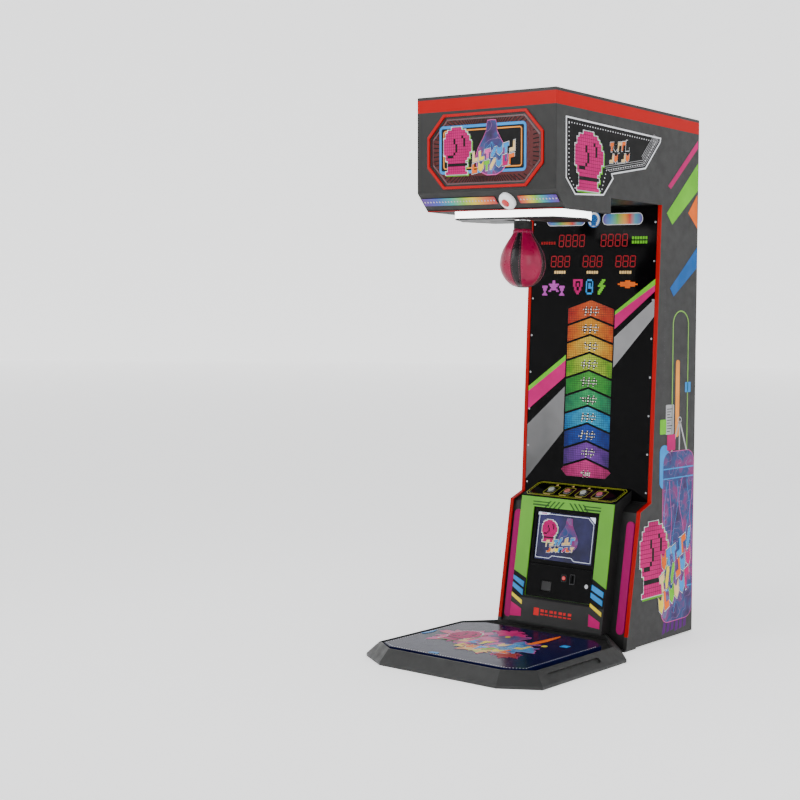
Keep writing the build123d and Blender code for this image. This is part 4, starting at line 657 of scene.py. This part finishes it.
ink_purple_bright = coating("print_violet", (0.3, 0.01, 0.28), 0.4, depth=0.05, mottle=0.2, glow=0.12)
ICON_STAR = ["...##...", "...##...", "########", ".######.", "..####..", ".######.", "##....##"]
icons_left += pixels(ICON_CUP, -276, 915, 5.0, tall=5.4) + pixels(ICON_STAR, -240, 938, 7.2) + pixels(ICON_CUP, -180,
    915, 5.0, tall=5.4)
for k, (x, hue) in enumerate(((-103, "magenta"), (-32, "sky"), (34, "green"))):
    plate(f"column_icon_{hue}", "column", pixels((ICON_GUARD, ICON_TIMER, ICON_BOLT)[k], x, 944, 6.6, tall=8.2),
        ink[hue])
icons_right += pixels(ICON_BELT, 140, 940, 6.6)
plate("column_icons_left", "column", icons_left, ink_purple_bright)
plate("column_icons_right", "column", icons_right, ink_orange)
for x, count in ((-210, 5), (-30, 5), (148, 5)):
    notices += [rect(x + 13 * k, 968, x + 13 * k + 9.5, 980) for k in range(count)]
plate("column_notices", "column", notices, ink["cream"])
plate("column_side_chips_left", "column", [rect(-290 + 14 * k, 1112 - 16 + 18 * r, -290 + 14 * k + 10,
    1112 - 4 + 18 * r) for k in range(6) for r in range(1)], ink_red)
plate("column_side_chips_right", "column", [rect(208 + 14 * k, 1112 - 16 + 18 * r, 208 + 14 * k + 10,
    1112 - 4 + 18 * r) for k in range(6) for r in range(2)], ink_green)

# ---- side prints, the same on both sides ----
both_sides("side_magenta_stripe", [[(603, 2162), (604, 2129), (403, 1936), (383, 1947)]], ink_magenta)
both_sides("side_green_stripe", [[(606, 2065), (608, 1948), (417, 1788), (376, 1833)]], ink_green)
both_sides("side_orange_wedge", [[(602, 1928), (535, 1845), (608, 1782)]], ink_orange)
both_sides("side_blue_stripe", [[(608, 1703), (608, 1614), (434, 1485), (407, 1519)]], ink_blue)
HEAD_LINE = [(-292, 2149), (327, 2140), (323, 2120), (221, 2001), (-2, 1956), (6, 1941), (-56, 1869), (-234, 1857),
    (-290, 1917)]
both_sides("side_head_field", [HEAD_LINE], ink_dark, 0.15, 0.2)
both_sides("side_head_line", border(HEAD_LINE, 6), ink_white, 0.4, 0.5)
lines = []
for k in range(1, 7):
    shrunk = inset(HEAD_LINE, 6 + 7.5 * k)
    lines += [quad for at, quad in enumerate(border(shrunk, 1.8)) if min(quad[0][0],
        quad[1][0]) > -60 and quad[0][0] + quad[1][0] > 60]
both_sides("side_head_lines", lines, ink["silver"], 0.4, 0.3)
dotted_line = np.array([(-272, 2128), (290, 2119), (206, 2019), (-40, 1969), (-70, 1885), (-226, 1875), (-272, 1925),
    (-272, 2128)], float)
both_sides("side_head_dots", dots(dotted_line, 16, 2.6), ink_white, 0.4, 0.3)
glove_mark("side_head_mark", "sides", -236, 2106, 12.5, 13.4, 0.5)
lettering("side_head_letters", "sides", (-20, 2000), (110, 2018), (22, 34), ("cream", "orange", "dark"), 0.5, 2, -46)
ARCH = np.stack([492 - 60 * np.cos(np.linspace(0, math.pi, 24)), 1366 + 60 * np.sin(np.linspace(0, math.pi, 24))], 1)
ARCH_RING = np.concatenate([ARCH, [(552, 800), (432, 800)]])
both_sides("side_arch", border(ARCH_RING, 5), ink_pale_green)
both_sides("side_orange_bar", [rounded(459, 880, 487, 1213, 12)], ink["amber"])
both_sides("side_blue_square", [rounded(530, 1072, 572, 1116, 4)], ink_sky)
both_sides("side_grey_card", [rounded(389, 894, 448, 1022, 5)], ink["silver"])
both_sides("side_card_lines", [rect(397, 1002 - 12 * k, 397 + 40 - 9 * (k % 3), 1005 - 12 * k) for k in range(9)],
    ink_dark, 0.6, 0.2)
both_sides("side_green_square", [rounded(347, 897, 392, 960, 5)], ink_green, 0.7, 0.3)
both_sides("side_magenta_square", [rounded(400, 824, 461, 893, 6)], ink_magenta, 0.7, 0.3)
both_sides("side_blue_bar", [rounded(349, 663, 412, 849, 28)], ink_sky)
BAG_LINE = np.array([(0, 1.0), (0.13, 0.99), (0.16, 0.9), (0.17, 0.8), (0.26, 0.68), (0.42, 0.5), (0.5, 0.34), (0.47,
    0.18), (0.33, 0.06), (0.14, 0.0)])
BAG_RING = np.concatenate([BAG_LINE, (BAG_LINE * (-1, 1))[::-1]])
HEAVY = rounded(372, 72, 606, 820, 52)
both_sides("side_bag_rim", [HEAVY], ink["pink"], 0.25, 0.2)
both_sides("side_bag", [inset(HEAVY, 2.5)], nebula, 0.45, 0.25)
strap_rings = [[(430, 818), (440, 818), (494, 946), (486, 950)], [(542, 818), (552, 818), (498, 950), (490, 946)],
    [(488, 822), (496, 822), (496, 940), (488, 940)]]
both_sides("side_bag_straps", strap_rings + border(disc(492, 952, 15), 4), ink["silver"], 0.5, 0.2)
bands = [rect(376, z, 602, z + 5) for z in (212, 700, 742)]
both_sides("side_bag_bands", bands, ink_sky, 0.75, 0.2)
gleams = []
for k, (y0, z0, y1, z1, bend) in enumerate(((400, 240, 396, 690, 14), (428, 250, 432, 690, -10), (462, 110, 470, 690,
    18), (520, 240, 508, 700, -16), (556, 250, 566, 690, 12), (584, 240, 588, 690, -8))):
    t = np.linspace(0, 1, 30)
    middle = np.stack([y0 + (y1 - y0) * t + bend * np.sin(t * (7 + k)), z0 + (z1 - z0) * t], 1)
    gleams.append(np.concatenate([middle, (middle + (2.2, 0))[::-1]]))
both_sides("side_bag_gleams", gleams[::2], ink_sky, 0.75, 0.2)
both_sides("side_bag_gleams_warm", gleams[1::2], ink["pink"], 0.75, 0.2)
both_sides("side_streaks", [[(380 + 32 * k, 24 + 4 * (k % 3)), (402 + 32 * k, 30 + 4 * (k % 3)), (430 + 28 * k,
    168 + 6 * (k % 4)), (412 + 28 * k, 158 + 9 * (k % 3))] for k in range(6)], ink_purple, 0.15, 0.1)
glove_mark("side_low_mark", "sides", 214, 530, 14.3, 19.0, 1.0)
lettering("side_low_letters", "sides", (375, 300), (600, 400), (34, 70), ("orange", "sky", "sky", "sky"), 2.2, 1, 0,
    0.3, 4)
lettering("side_low_letters_second", "sides", (366, 205), (600, 318), (36, 76), ("cream", "yellow", "green", "orange",
    "sky", "magenta"), 2.2, 1, 0, 0.3, 6)
lettering("side_low_letters_third", "sides", (358, 112), (600, 222), (36, 76), ("yellow", "orange", "green", "cream",
    "sky", "magenta"), 2.2, 1, 0, 0.3, 9)
both_sides("side_edge_dots", dots([(372, 1600), (372, 1050)], 18, 2.2), ink_grey, 0.2, 0.2)

# ---- marquee ----
def octagon(x0, z0, x1, z1, cut):
    return [(x0 + cut, z0), (x1 - cut, z0), (x1, z0 + cut), (x1, z1 - cut), (x1 - cut, z1), (x0 + cut, z1), (x0,
        z1 - cut), (x0, z0 + cut)]


MID = 2029.5
field = octagon(-276, MID - 124, 276, MID + 124, 78)
plate("marquee_field", "marquee", [field], coating("marquee_black", (0.006, 0.003, 0.003), 0.2, depth=0.02, glow=0.05,
    coat=0.3), -3.9, 0.3)
plate("marquee_glow", "marquee", [octagon(-274, MID - 122, 274, MID + 122, 77)], coating("marquee_glow_red", (0.05,
    0.0015, 0.002), 0.3, depth=0.02, glow=0.25, shine=0.2), -3.6, 0.15)
plate("marquee_middle", "marquee", [rounded(-236, 1947, 205, 2127, 16)], ink_dark, -3.2, 0.12)
rays = []
for angle in np.linspace(0, 2 * math.pi, 96, endpoint=False):
    ahead = np.array((math.cos(angle), math.sin(angle)))
    side = np.array((-ahead[1], ahead[0])) * 2.3
    near = min(240 / max(abs(ahead[0]), 1e-6), 96 / max(abs(ahead[1]), 1e-6)) + 2
    far = min(272 / max(abs(ahead[0]), 1e-6), 121 / max(abs(ahead[1]), 1e-6),
        (272 + 121 - 76) / (abs(ahead[0]) + abs(ahead[1])))
    if far > near:
        rays.append(np.array([ahead * near - side, ahead * far - side, ahead * far + side, ahead * near + side]) + (0,
            MID))
plate("marquee_rays", "marquee", rays, ink_dark, -3.4, 0.15)
plate("marquee_blue_frame", "marquee", border(rounded(-240, 1943, 209, 2131, 18), 11), ink_sky, -3.0, 0.3)
plate("marquee_cream_frame", "marquee", border(rounded(-219, 1961, 188, 2113, 12), 5), ink["amber"], -3.0, 0.3)
glove_mark("marquee_mark", "marquee", -216, 2124, 10.4, 10.8, -2.6)
plate("marquee_bag_rim", "marquee", [BAG_RING * (168, 214) + (34, 1932)], ink["pink"], -2.6, 0.2)
plate("marquee_bag", "marquee", [BAG_RING * (162, 208) + (34, 1935)], nebula, -2.35, 0.2)
t = np.linspace(0, 1, 20)
seams_drawn = []
for lean_by in (-0.34, -0.12, 0.12, 0.34):
    middle = np.stack([34 + lean_by * 150 * np.sin(math.pi * np.clip(t * 1.05, 0, 1)) ** 1.2, 2060 - 122 * t], 1)
    seams_drawn.append(np.concatenate([middle, (middle + (1.8, 0))[::-1]]))
plate("marquee_bag_seams", "marquee", seams_drawn, ink_sky, -2.1, 0.15)
lettering("marquee_letters", "marquee", (-62, 1984), (172, 2026), (27, 36), ("cream", "yellow", "pink", "sky", "sky",
    "sky"), -2.0, 1, 0, 0.2, 3)
lettering("marquee_letters_low", "marquee", (-66, 1940), (168, 1978), (27, 36), ("orange", "yellow", "green", "cream",
    "sky", "magenta"), -2.0, 1, 0, 0.2, 8)

# ---- console ----
STRIPES = {"blue_a": (ink_sky, [(179, 202), (244, 176), (243, 152), (178, 179)]),
           "blue_b": (ink_sky, [(177, 169), (242, 141), (243, 117), (177, 147)]), "yellow": (ink_yellow, [(178, 124),
               (242, 92), (243, 74), (178, 109)]),
           "magenta": (ink_magenta, [(177, 77), (239, 50), (240, 22), (180, 26)])}
LEFT = {"blue_a": [(-253, 198), (-190, 173), (-192, 149), (-252, 180)], "blue_b": [(-252, 167), (-192, 139), (-192,
    114), (-252, 147)],
        "yellow": [(-252, 123), (-192, 93), (-191, 75), (-252, 107)], "magenta": [(-252, 81), (-191, 56), (-189, 24),
            (-252, 20)]}
plate("console_lower_grey", "console", [[(-253.4, -0.4), (253.4, -0.4), (253.4, 106), (-253.4, 106)]], frame_black,
    0.1, 0.15)
plate("console_lower_sides", "console", [[(180, 106), (253.4, 106), (253.4, 190), (180, 226)], [(-253.4, 106), (-180,
    106), (-180, 190), (-253.4, 220)], [(-180, 106), (180, 106), (180, 117.3), (-180, 117.3)]], ink_dark, 0.1, 0.15)
FACES["console_end_right"] = ((253, foot_y, 66), (0, math.cos(foot_lean), -math.sin(foot_lean)), (0,
    math.sin(foot_lean), math.cos(foot_lean)))
FACES["console_end_left"] = ((-253, foot_y, 66), (0, -math.cos(foot_lean), math.sin(foot_lean)), (0,
    math.sin(foot_lean), math.cos(foot_lean)))
plate("console_edge_right", "console_end_right", [rect(-0.2, -0.4, 8, 190)], frame_black, 0.05, 0.3)
plate("console_edge_left", "console_end_left", [rect(-8, -0.4, 0.2, 220)], frame_black, 0.05, 0.3)
for key, (mat, ring) in STRIPES.items():
    plate("console_stripe_" + key, "console", [ring, LEFT[key]], mat, 0.4, 0.3)
circuit = coating("circuit_green", (0.012, 0.055, 0.003), 0.4, depth=0.05, shine=0.2)
traces = []
for side in (-1, 1):
    x0, x1 = sorted((side * 96, side * 186))
    traces += [rect(x0, 523, x1, 528), rect(x0, 509, x1, 516)]
    for k in range(4):
        near, wide = 12 + 24 * k, 9
        traces.append([(side * near, 533), (side * (near + wide), 533), (side * (near + wide + 28), 503),
            (side * (near + 28), 503)])
plate("console_circuit", "console", traces, circuit)
red_print = coating("print_bright_red", (0.5, 0.003, 0.004), 0.4, depth=0.05, glow=0.2, shine=0.2)
plate("console_red_chips", "console", [rect(-120, 38, -92, 70)] + [rect(-82 + 25 * k, 42, -64 + 25 * k,
    48) for k in range(7)] + [rect(-82 + 25 * k, 55, -64 + 25 * k - 6 * (k % 2), 66) for k in range(7)], red_print,
    0.5, 0.3)
# the screen: a dark blue picture in a cut-cornered line, with the mark, a bag and signs
glow_blue = cloudy_print("screen_blue", [(0.003, 0.003, 0.015), (0.006, 0.006, 0.03), (0.01, 0.01, 0.05), (0.015,
    0.012, 0.07)], 7.0, 0.5, 0.12, False)
plate("screen_picture", "console", [rect(-157, 279, 157, 483)], glow_blue, -9.8, 0.3)
line_white = lamp_plastic("screen_white", (0.6, 0.65, 0.8), 0.5)
plate("screen_rim", "console", border([(-152, 290), (-150, 478), (118, 478), (150, 452), (150, 286), (60, 286), (44,
    298), (-60, 298), (-76, 286), (-148, 286)], 1.8), line_white, -9.4, 0.2)
plate("screen_corner", "console", [[(124, 482), (156, 482), (156, 456)], [(-156, 470), (-156, 482), (-92, 482), (-100,
    474)]], line_white, -9.2, 0.2)
plate("screen_corner_mark", "console", [rect(-140, 475.5, -110, 480)], ink_magenta, -9.0, 0.2)
glove_mark("screen_mark", "console", -128, 452, 6.0, 5.6, -9.2)
plate("screen_bag", "console", [BAG_RING * (112, 146) + (18, 322)], nebula, -9.2, 0.2)
lettering("screen_letters", "console", (-100, 338), (62, 360), (19, 26), ("cream", "cream", "sky", "sky"), -8.9, 1, 0,
    0.2, 5)
lettering("screen_letters_low", "console", (-92, 312), (66, 328), (18, 18), ("orange", "cream", "yellow", "sky",
    "magenta"), -8.9, 1, 0, 0.2, 7)

# coin door: slot and reject surrounds
dim_metal = coating("dark_anodised", (0.03, 0.03, 0.032), 0.35, metal=0.7, depth=0.1)
plate("coin_slot_frame", "console", border(rounded(56, 190, 84, 232, 4), 2.5), dim_metal, -1.9, 1.2, "coin_door")
plate("coin_reject_frame", "console", border(rounded(11, 196, 37, 226, 4), 2), dim_metal, -1.9, 1.0, "coin_door")
plate("coin_door_rim", "console", border(rounded(-172, 121, 172, 257, 5), 1.2), ink_dark, -1.9, 0.6, "coin_door")

# ---- console top ----
deck_long = math.hypot(49, 291.9 - deck_y)
deck_gold = coating("print_olive", (0.28, 0.3, 0.02), 0.4, depth=0.05, glow=0.08, shine=0.2)
plate("deck_border", "deck", border(octagon(-246, 6, 246, deck_long - 7, 16), 2.4) + border(octagon(-236, 14, 236,
    deck_long - 15, 14), 1.2), deck_gold)
rings = []
for x in (-132, -44, 44, 132):
    rings += border(rounded(x - 30, 58 - 31, x + 30, 58 + 31, 8), 2.0)
plate("deck_button_frames", "deck", rings, deck_gold)
arrows = [[(x - 7, 98), (x + 7, 98), (x, 108)] for x in (-132, -44, 44, 132)]
plate("deck_arrows", "deck", arrows + [rect(x - 18, 19, x + 18, 22) for x in (-132, -44, 44, 132)], ink["cream"])

# ---- board print ----
def blob(x, y, wide, deep, waves, seed, steps=72):
    """A splash: a ring whose radius swells and shrinks by a sum of sines."""
    a = np.arange(steps) * 2 * math.pi / steps
    r = 1 + 0.22 * np.sin(waves * a + seed) + 0.16 * np.sin((waves * 2 + 1) * a + seed * 2.1) + 0.1 * np.sin((waves * 4 + 3) * a + seed * 3.7)
    return np.stack([x + wide / 2 * r * np.cos(a) * 0.85, y + deep / 2 * r * np.sin(a) * 0.85], 1)


def splash_piece(name, x, y, wide, deep, waves, seed, mat, lift):
    """One splash with a pale outline under it."""
    ring = blob(x, y, wide, deep, waves, seed)
    plate(name + "_edge", "board", [ring.mean(0) + (ring - ring.mean(0)) * 1.035], ink["pink"], lift, 0.12)
    plate(name, "board", [ring], mat, lift + 0.15, 0.12)


board_sky = cloudy_print("board_blue", [(0.004, 0.01, 0.06), (0.01, 0.08, 0.25), (0.02, 0.2, 0.4), (0.06, 0.02,
    0.15)], 14.0, seed=7.0)
board_warm = cloudy_print("board_warm", [(0.25, 0.01, 0.02), (0.5, 0.12, 0.01), (0.55, 0.4, 0.02), (0.1, 0.3, 0.05)],
    16.0, seed=11.0)
splash_piece("board_purple", -10, -240, 380, 250, 3, 2.4, nebula, 0.15)
splash_piece("board_splash", -175, -262, 300, 230, 5, 0.4, splash, 0.5)
splash_piece("board_blue_splash", 110, -300, 220, 210, 4, 1.3, board_sky, 0.5)
splash_piece("board_warm_splash", 10, -385, 200, 110, 5, 0.9, board_warm, 0.9)
splash_piece("board_pink_splash", -66, -112, 170, 100, 4, 2.0, ink_magenta, 0.9)
splash_piece("board_red_splash", 170, -400, 130, 90, 5, 2.9, ink["red"], 0.9)
plate("board_orange_stroke", "board", [[(112, -222), (142, -216), (156, -140), (150, -50), (136, -32), (126, -110)]],
    ink_orange, 1.3, 0.2)
plate("board_yellow_chips", "board", [disc(197, -206, 13, 14), disc(-30, -168, 12, 14)], ink_yellow, 1.3, 0.2)
plate("board_blue_chips", "board", [rect(248, -176, 284, -146), [(-372, -319), (-352, -315), (-346, -270), (-360,
    -232), (-364, -276)], [(-110, -545), (-62, -540), (-70, -520), (-104, -526)]], ink_sky, 1.3, 0.2)
glove_mark("board_mark", "board", -262, -168, 9.5, 10.0, 1.3)
lettering("board_letters", "board", (-150, -330), (170, -300), (38, 54), ("cream", "sky", "yellow", "pink"), 1.3, 1,
    0, 0.2, 3)
lettering("board_letters_low", "board", (-110, -400), (190, -384), (38, 50), ("yellow", "orange", "sky", "green"),
    1.3, 1, 0, 0.2, 8)
edge_line = np.array([(-368, -84), (-368, -514), (-302, -546), (302, -546), (368, -514), (368, -84)], float)
plate("board_edge_dots", "board", dots(edge_line, 13, 2.2), ink_white, 0.4, 0.2)

# ---- rainbow lamps of the chamfer, and its beacon ----
def chamfer_strip(name, x0, x1, mat):
    plate(name, "chamfer", [rounded(x0, 48.7 - 17, x1, 48.7 + 17, 4)], mat, 3.0, 0.5)


chamfer_strip("chamfer_lamps_right", 155, 349, rainbow("rainbow_right", [(1 - at, hue) for at, hue in HUES][::-1], 0,
    0.155, 0.349, 0.32))
chamfer_strip("chamfer_lamps_left", -349, 39, rainbow("rainbow_left", HUES, 0, -0.349, 0.039, 0.32))
plate("chamfer_red_line", "chamfer", [rect(-349, 3.5, 349, 6.5)], red_edge, 3.0, 0.4)
lamps = []
for x0, x1 in ((155, 349), (-349, 39)):
    lamps += [disc(x, 48.7, 3.4, 12) for x in np.arange(x0 + 10, x1 - 5, 16)]
plate("chamfer_lamp_spots", "chamfer", lamps, coating("lamp_spot", (0.35, 0.3, 0.35), 0.2, depth=0.0, glow=0.2), 3.5,
    0.25)


def lathe(name, profile, centre, face, mats, body="cabinet", steps=48):
    """A turned piece: each (radius, height) of the profile becomes a ring about the face's normal at centre;
    neighbouring rings are joined by quads and both ends are capped."""
    origin, u, v = (np.array(t, float) for t in FACES[face])
    normal = np.cross(u, v)
    middle = origin + centre[0] * u + centre[1] * v
    angles = np.arange(steps) * 2 * math.pi / steps
    profile = np.asarray(profile, float)
    rings = (middle + profile[:, None, :1] * (np.cos(angles)[None, :, None] * u + np.sin(angles)[None, :,
        None] * v) + profile[:, None, 1:] * normal)
    count = len(profile)
    index = np.arange(count * steps).reshape(count, steps)
    after = np.roll(index, -1, 1)
    quads = np.stack([index[:-1], after[:-1], after[1:], index[1:]], -1).reshape(-1, 4).tolist()
    faces = quads + [index[-1].tolist(), index[0][::-1].tolist()]
    return add(name, rings.reshape(-1, 3), faces, mats, body, smooth=True)


lathe("beacon_dome", [(16.5, 18), (16.2, 20.5), (14, 23.5), (10, 25.5), (5, 26.6), (1.2, 27)], (97, 45), "chamfer",
    red_lens)
BUTTON_X = (-132, -44, 44, 132)
for k, x in enumerate(BUTTON_X):
    lathe(f"button_ring_{k}", [(19.6, 0.05), (19.6, 0.9), (18.6, 1.3)], (x, 58), "deck", zinc)

# ---- punching bag: padded leather gores, seams and stitches ----
AXIS_Y = -122.0
knots = np.array([(1739, 35.0), (1728, 36.5), (1716, 42.0), (1700, 52.0), (1680, 65.0), (1655, 78.5), (1630, 87.0),
    (1605, 90.5), (1595, 91.0),
                  (1575, 88.5), (1555, 81.5), (1535, 69.5), (1520, 54.5), (1511, 40.0), (1506.5, 24.0), (1505, 10.0)])
arc = np.concatenate([[0], np.cumsum(np.linalg.norm(np.diff(knots, axis=0), axis=1))])
GORES = 4
SHARE = 0.71
FIRST = math.radians(35)


def bag_radius(height_at, angle):
    """Radius along the bag: the profile through the knots, pinched by a narrow groove at each seam between gores and
    swelled between them."""
    base = np.interp(height_at, arc, knots[:, 1])
    turn_at = np.mod((angle - FIRST) * GORES / (2 * math.pi), 1.0)
    swell = np.where(turn_at < SHARE, np.sin(math.pi * turn_at / SHARE),
        0.7 * np.sin(math.pi * (turn_at - SHARE) / (1 - SHARE)))
    nearest = np.minimum(np.minimum(turn_at, 1 - turn_at), np.abs(turn_at - SHARE))
    groove = np.exp(-(nearest / 0.013) ** 2)
    wide = np.clip(base / 90, 0, 1)
    return base * (1 + 0.022 * swell * wide) - 1.6 * groove * wide


def smooth_profile(count):
    """Heights and arc positions evenly along the bag's outline; the corners of the knots are rounded afterwards by
    averaging.
    """
    along = np.linspace(0, arc[-1], count)
    heights = np.interp(along, arc, knots[:, 0])
    return along, heights


rows, cols = 130, 288
along, heights = smooth_profile(rows)
angles = np.arange(cols) * 2 * math.pi / cols
kernel = np.hanning(13) / np.hanning(13).sum()
radii = bag_radius(along[:, None], angles[None, :])
padded = np.concatenate([np.repeat(radii[:1], 6, 0), radii, np.repeat(radii[-1:], 6, 0)])
radii = np.apply_along_axis(lambda column: np.convolve(column, kernel, "valid"), 0, padded)
level_pad = np.concatenate([2 * heights[0] - heights[6:0:-1], heights, 2 * heights[-1] - heights[-2:-8:-1]])
heights = np.convolve(level_pad, kernel, "valid")
grid = np.stack([radii * np.cos(angles), AXIS_Y + radii * np.sin(angles), np.repeat(heights[:, None], cols, 1)], -1)
index = np.arange(rows * cols).reshape(rows, cols)
after = np.roll(index, -1, 1)
quads = np.stack([index[:-1], index[1:], after[1:], after[:-1]], -1).reshape(-1, 4)
faces = quads.tolist() + [index[0].tolist(), index[-1][::-1].tolist()]
bag = add("bag_skin", grid.reshape(-1, 3), faces, [magenta_leather, black_leather], "swing_arm",
    smooth=True)
turn_at = np.mod((angles - FIRST + math.pi / cols) * GORES / (2 * math.pi), 1.0)
narrow = np.tile((turn_at > SHARE).astype(np.int32), rows - 1)
bag.data.polygons.foreach_set("material_index", np.concatenate([narrow, [0, 1]]).astype(np.int32))
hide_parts("punching_bag")


def cords(name, lines, radius, mat, body="swing_arm", sides=8):
    """Round piping along lines of points: a ring of corners square to the line at each point, joined by quads and
    capped at the ends."""
    points, faces, count = [], [], 0
    for line in lines:
        line = np.asarray(line, float)
        ahead = np.gradient(line, axis=0)
        ahead /= np.linalg.norm(ahead, axis=1, keepdims=True)
        seed = np.cross(ahead, (0.0, 0.0, 1.0))
        weak = np.linalg.norm(seed, axis=1) < 0.05
        seed[weak] = np.cross(ahead[weak], (1.0, 0.0, 0.0))
        first = seed / np.linalg.norm(seed, axis=1, keepdims=True)
        second = np.cross(ahead, first)
        a = np.arange(sides) * 2 * math.pi / sides
        ring = line[:, None] + radius * (np.cos(a)[None, :, None] * first[:, None] + np.sin(a)[None, :,
            None] * second[:, None])
        n = len(line)
        at = count + np.arange(n * sides).reshape(n, sides)
        nxt = np.roll(at, -1, 1)
        faces += np.stack([at[:-1], nxt[:-1], nxt[1:], at[1:]], -1).reshape(-1, 4).tolist()
        faces += [at[-1].tolist(), at[0][::-1].tolist()]
        points.append(ring.reshape(-1, 3))
        count += n * sides
    return add(name, np.concatenate(points), faces, mat, body, smooth=True)


piping, threads = [], []
for k in range(GORES):
    for offset in (0.0, SHARE):
        angle = FIRST + (k + offset) * 2 * math.pi / GORES
        column = int(round(angle / (2 * math.pi) * cols)) % cols
        line = grid[3:-5, column]
        piping.append(line[::2])
        for shift in (-3, 3):
            strand = grid[6:-10, (column + shift) % cols]
            out = np.stack([np.cos(angles[(column + shift) % cols]) * np.ones(len(strand)),
                np.sin(angles[(column + shift) % cols]) * np.ones(len(strand)), np.zeros(len(strand))], 1)
            strand = strand + out * 0.15
            threads += [strand[i:i + 2] for i in range(0, len(strand) - 2, 3)]
cords("bag_piping", piping, 1.5, black_leather)
cords("bag_stitches", threads, 0.5, coating("stitch_thread", (0.5, 0.12, 0.2), 0.6, depth=0.1), sides=5)
FACES["bag_foot"] = ((0, AXIS_Y, 1505), X, (0, -1, 0))
FACES["bag_top"] = ((0, AXIS_Y, 1739), X, (0, 1, 0))
lathe("bag_foot_patch", [(22, -1.5), (21, 0.2), (15, 1.2), (6, 1.6), (1, 1.7)], (0, 0), "bag_foot", black_leather,
    "swing_arm")
lathe("bag_neck_band", [(36.8, -26), (38.6, -24.5), (38.8, -14), (38.6, -3.5), (36.8, -2)], (0, 0), "bag_top",
    magenta_leather, "swing_arm")
lace = []
for k in range(14):
    angle = k * 2 * math.pi / 14
    out = np.array((math.cos(angle), math.sin(angle)))
    lace.append([(out[0] * 39, AXIS_Y + out[1] * 39, 1716), (out[0] * 39.4, AXIS_Y + out[1] * 39.4, 1725),
        (out[0] * 39, AXIS_Y + out[1] * 39, 1734)])
cords("bag_lacing", lace, 1.1, coating("lace_cord", (0.25, 0.02, 0.08), 0.6, depth=0.2), sides=6)

# ---- stage and light ----
backdrop_mat, _, backdrop_shade = shader("studio_backdrop")
settle(backdrop_shade, Emission_Color=(1, 1, 1, 1), Emission_Strength=0.85)
floor_mat, floor_tree, floor_shade = shader("studio_floor")
settle(floor_shade, Roughness=0.75)
floor_tree.links.new(blended(floor_tree, noise(floor_tree, place(floor_tree), 2.0, 3.0), (0.86, 0.86, 0.86, 1), (0.9,
    0.9, 0.9, 1)), floor_shade.inputs["Base Color"])
STUDIO_RADIUS, STUDIO_HEIGHT, STUDIO_SIDES = 34.0, 26.0, 96
round_angles = np.arange(STUDIO_SIDES) * 2 * math.pi / STUDIO_SIDES
rim = np.stack([STUDIO_RADIUS * np.cos(round_angles), STUDIO_RADIUS * np.sin(round_angles), np.zeros(STUDIO_SIDES)],
    1)
floor = build("floor", rim.tolist(), [list(range(STUDIO_SIDES))], [floor_mat])
settle(floor_shade, Emission_Color=(1, 1, 1, 1), Emission_Strength=0.8)
low_ring = np.arange(STUDIO_SIDES)
wall_faces = np.stack([low_ring, np.roll(low_ring, -1), np.roll(low_ring, -1) + STUDIO_SIDES,
    low_ring + STUDIO_SIDES], 1)
backdrop = build("backdrop", np.concatenate([rim - (0, 0, 0.5), rim + (0, 0, STUDIO_HEIGHT)]).tolist(),
    wall_faces.tolist(), [backdrop_mat])
world = bpy.data.worlds.new("studio")
bpy.context.scene.world = world
world.use_nodes = True
sky = world.node_tree.nodes["Background"]
sky.inputs[0].default_value = (0.92, 0.94, 1.0, 1)
sky.inputs[1].default_value = 0.36


def area_light(name, at, target, size, power, tint=(1, 1, 1)):
    data = bpy.data.lights.new(name, "AREA")
    data.shape = "RECTANGLE"
    data.size, data.size_y = size
    data.energy = power
    data.color = tint
    made = bpy.data.objects.new(name, data)
    made.location = at
    made.rotation_euler = (Vector(target) - Vector(at)).to_track_quat("-Z", "Y").to_euler()
    bpy.context.scene.collection.objects.link(made)


area_light("key", (-1.8, -3.6, 3.6), (0, 0, 1.0), (2.0, 2.0), 56)
area_light("fill", (3.6, -1.6, 2.4), (0, 0.1, 1.1), (1.6, 2.6), 36)
area_light("top", (0.2, -0.4, 4.2), (0, 0, 1.0), (2.2, 2.2), 40)
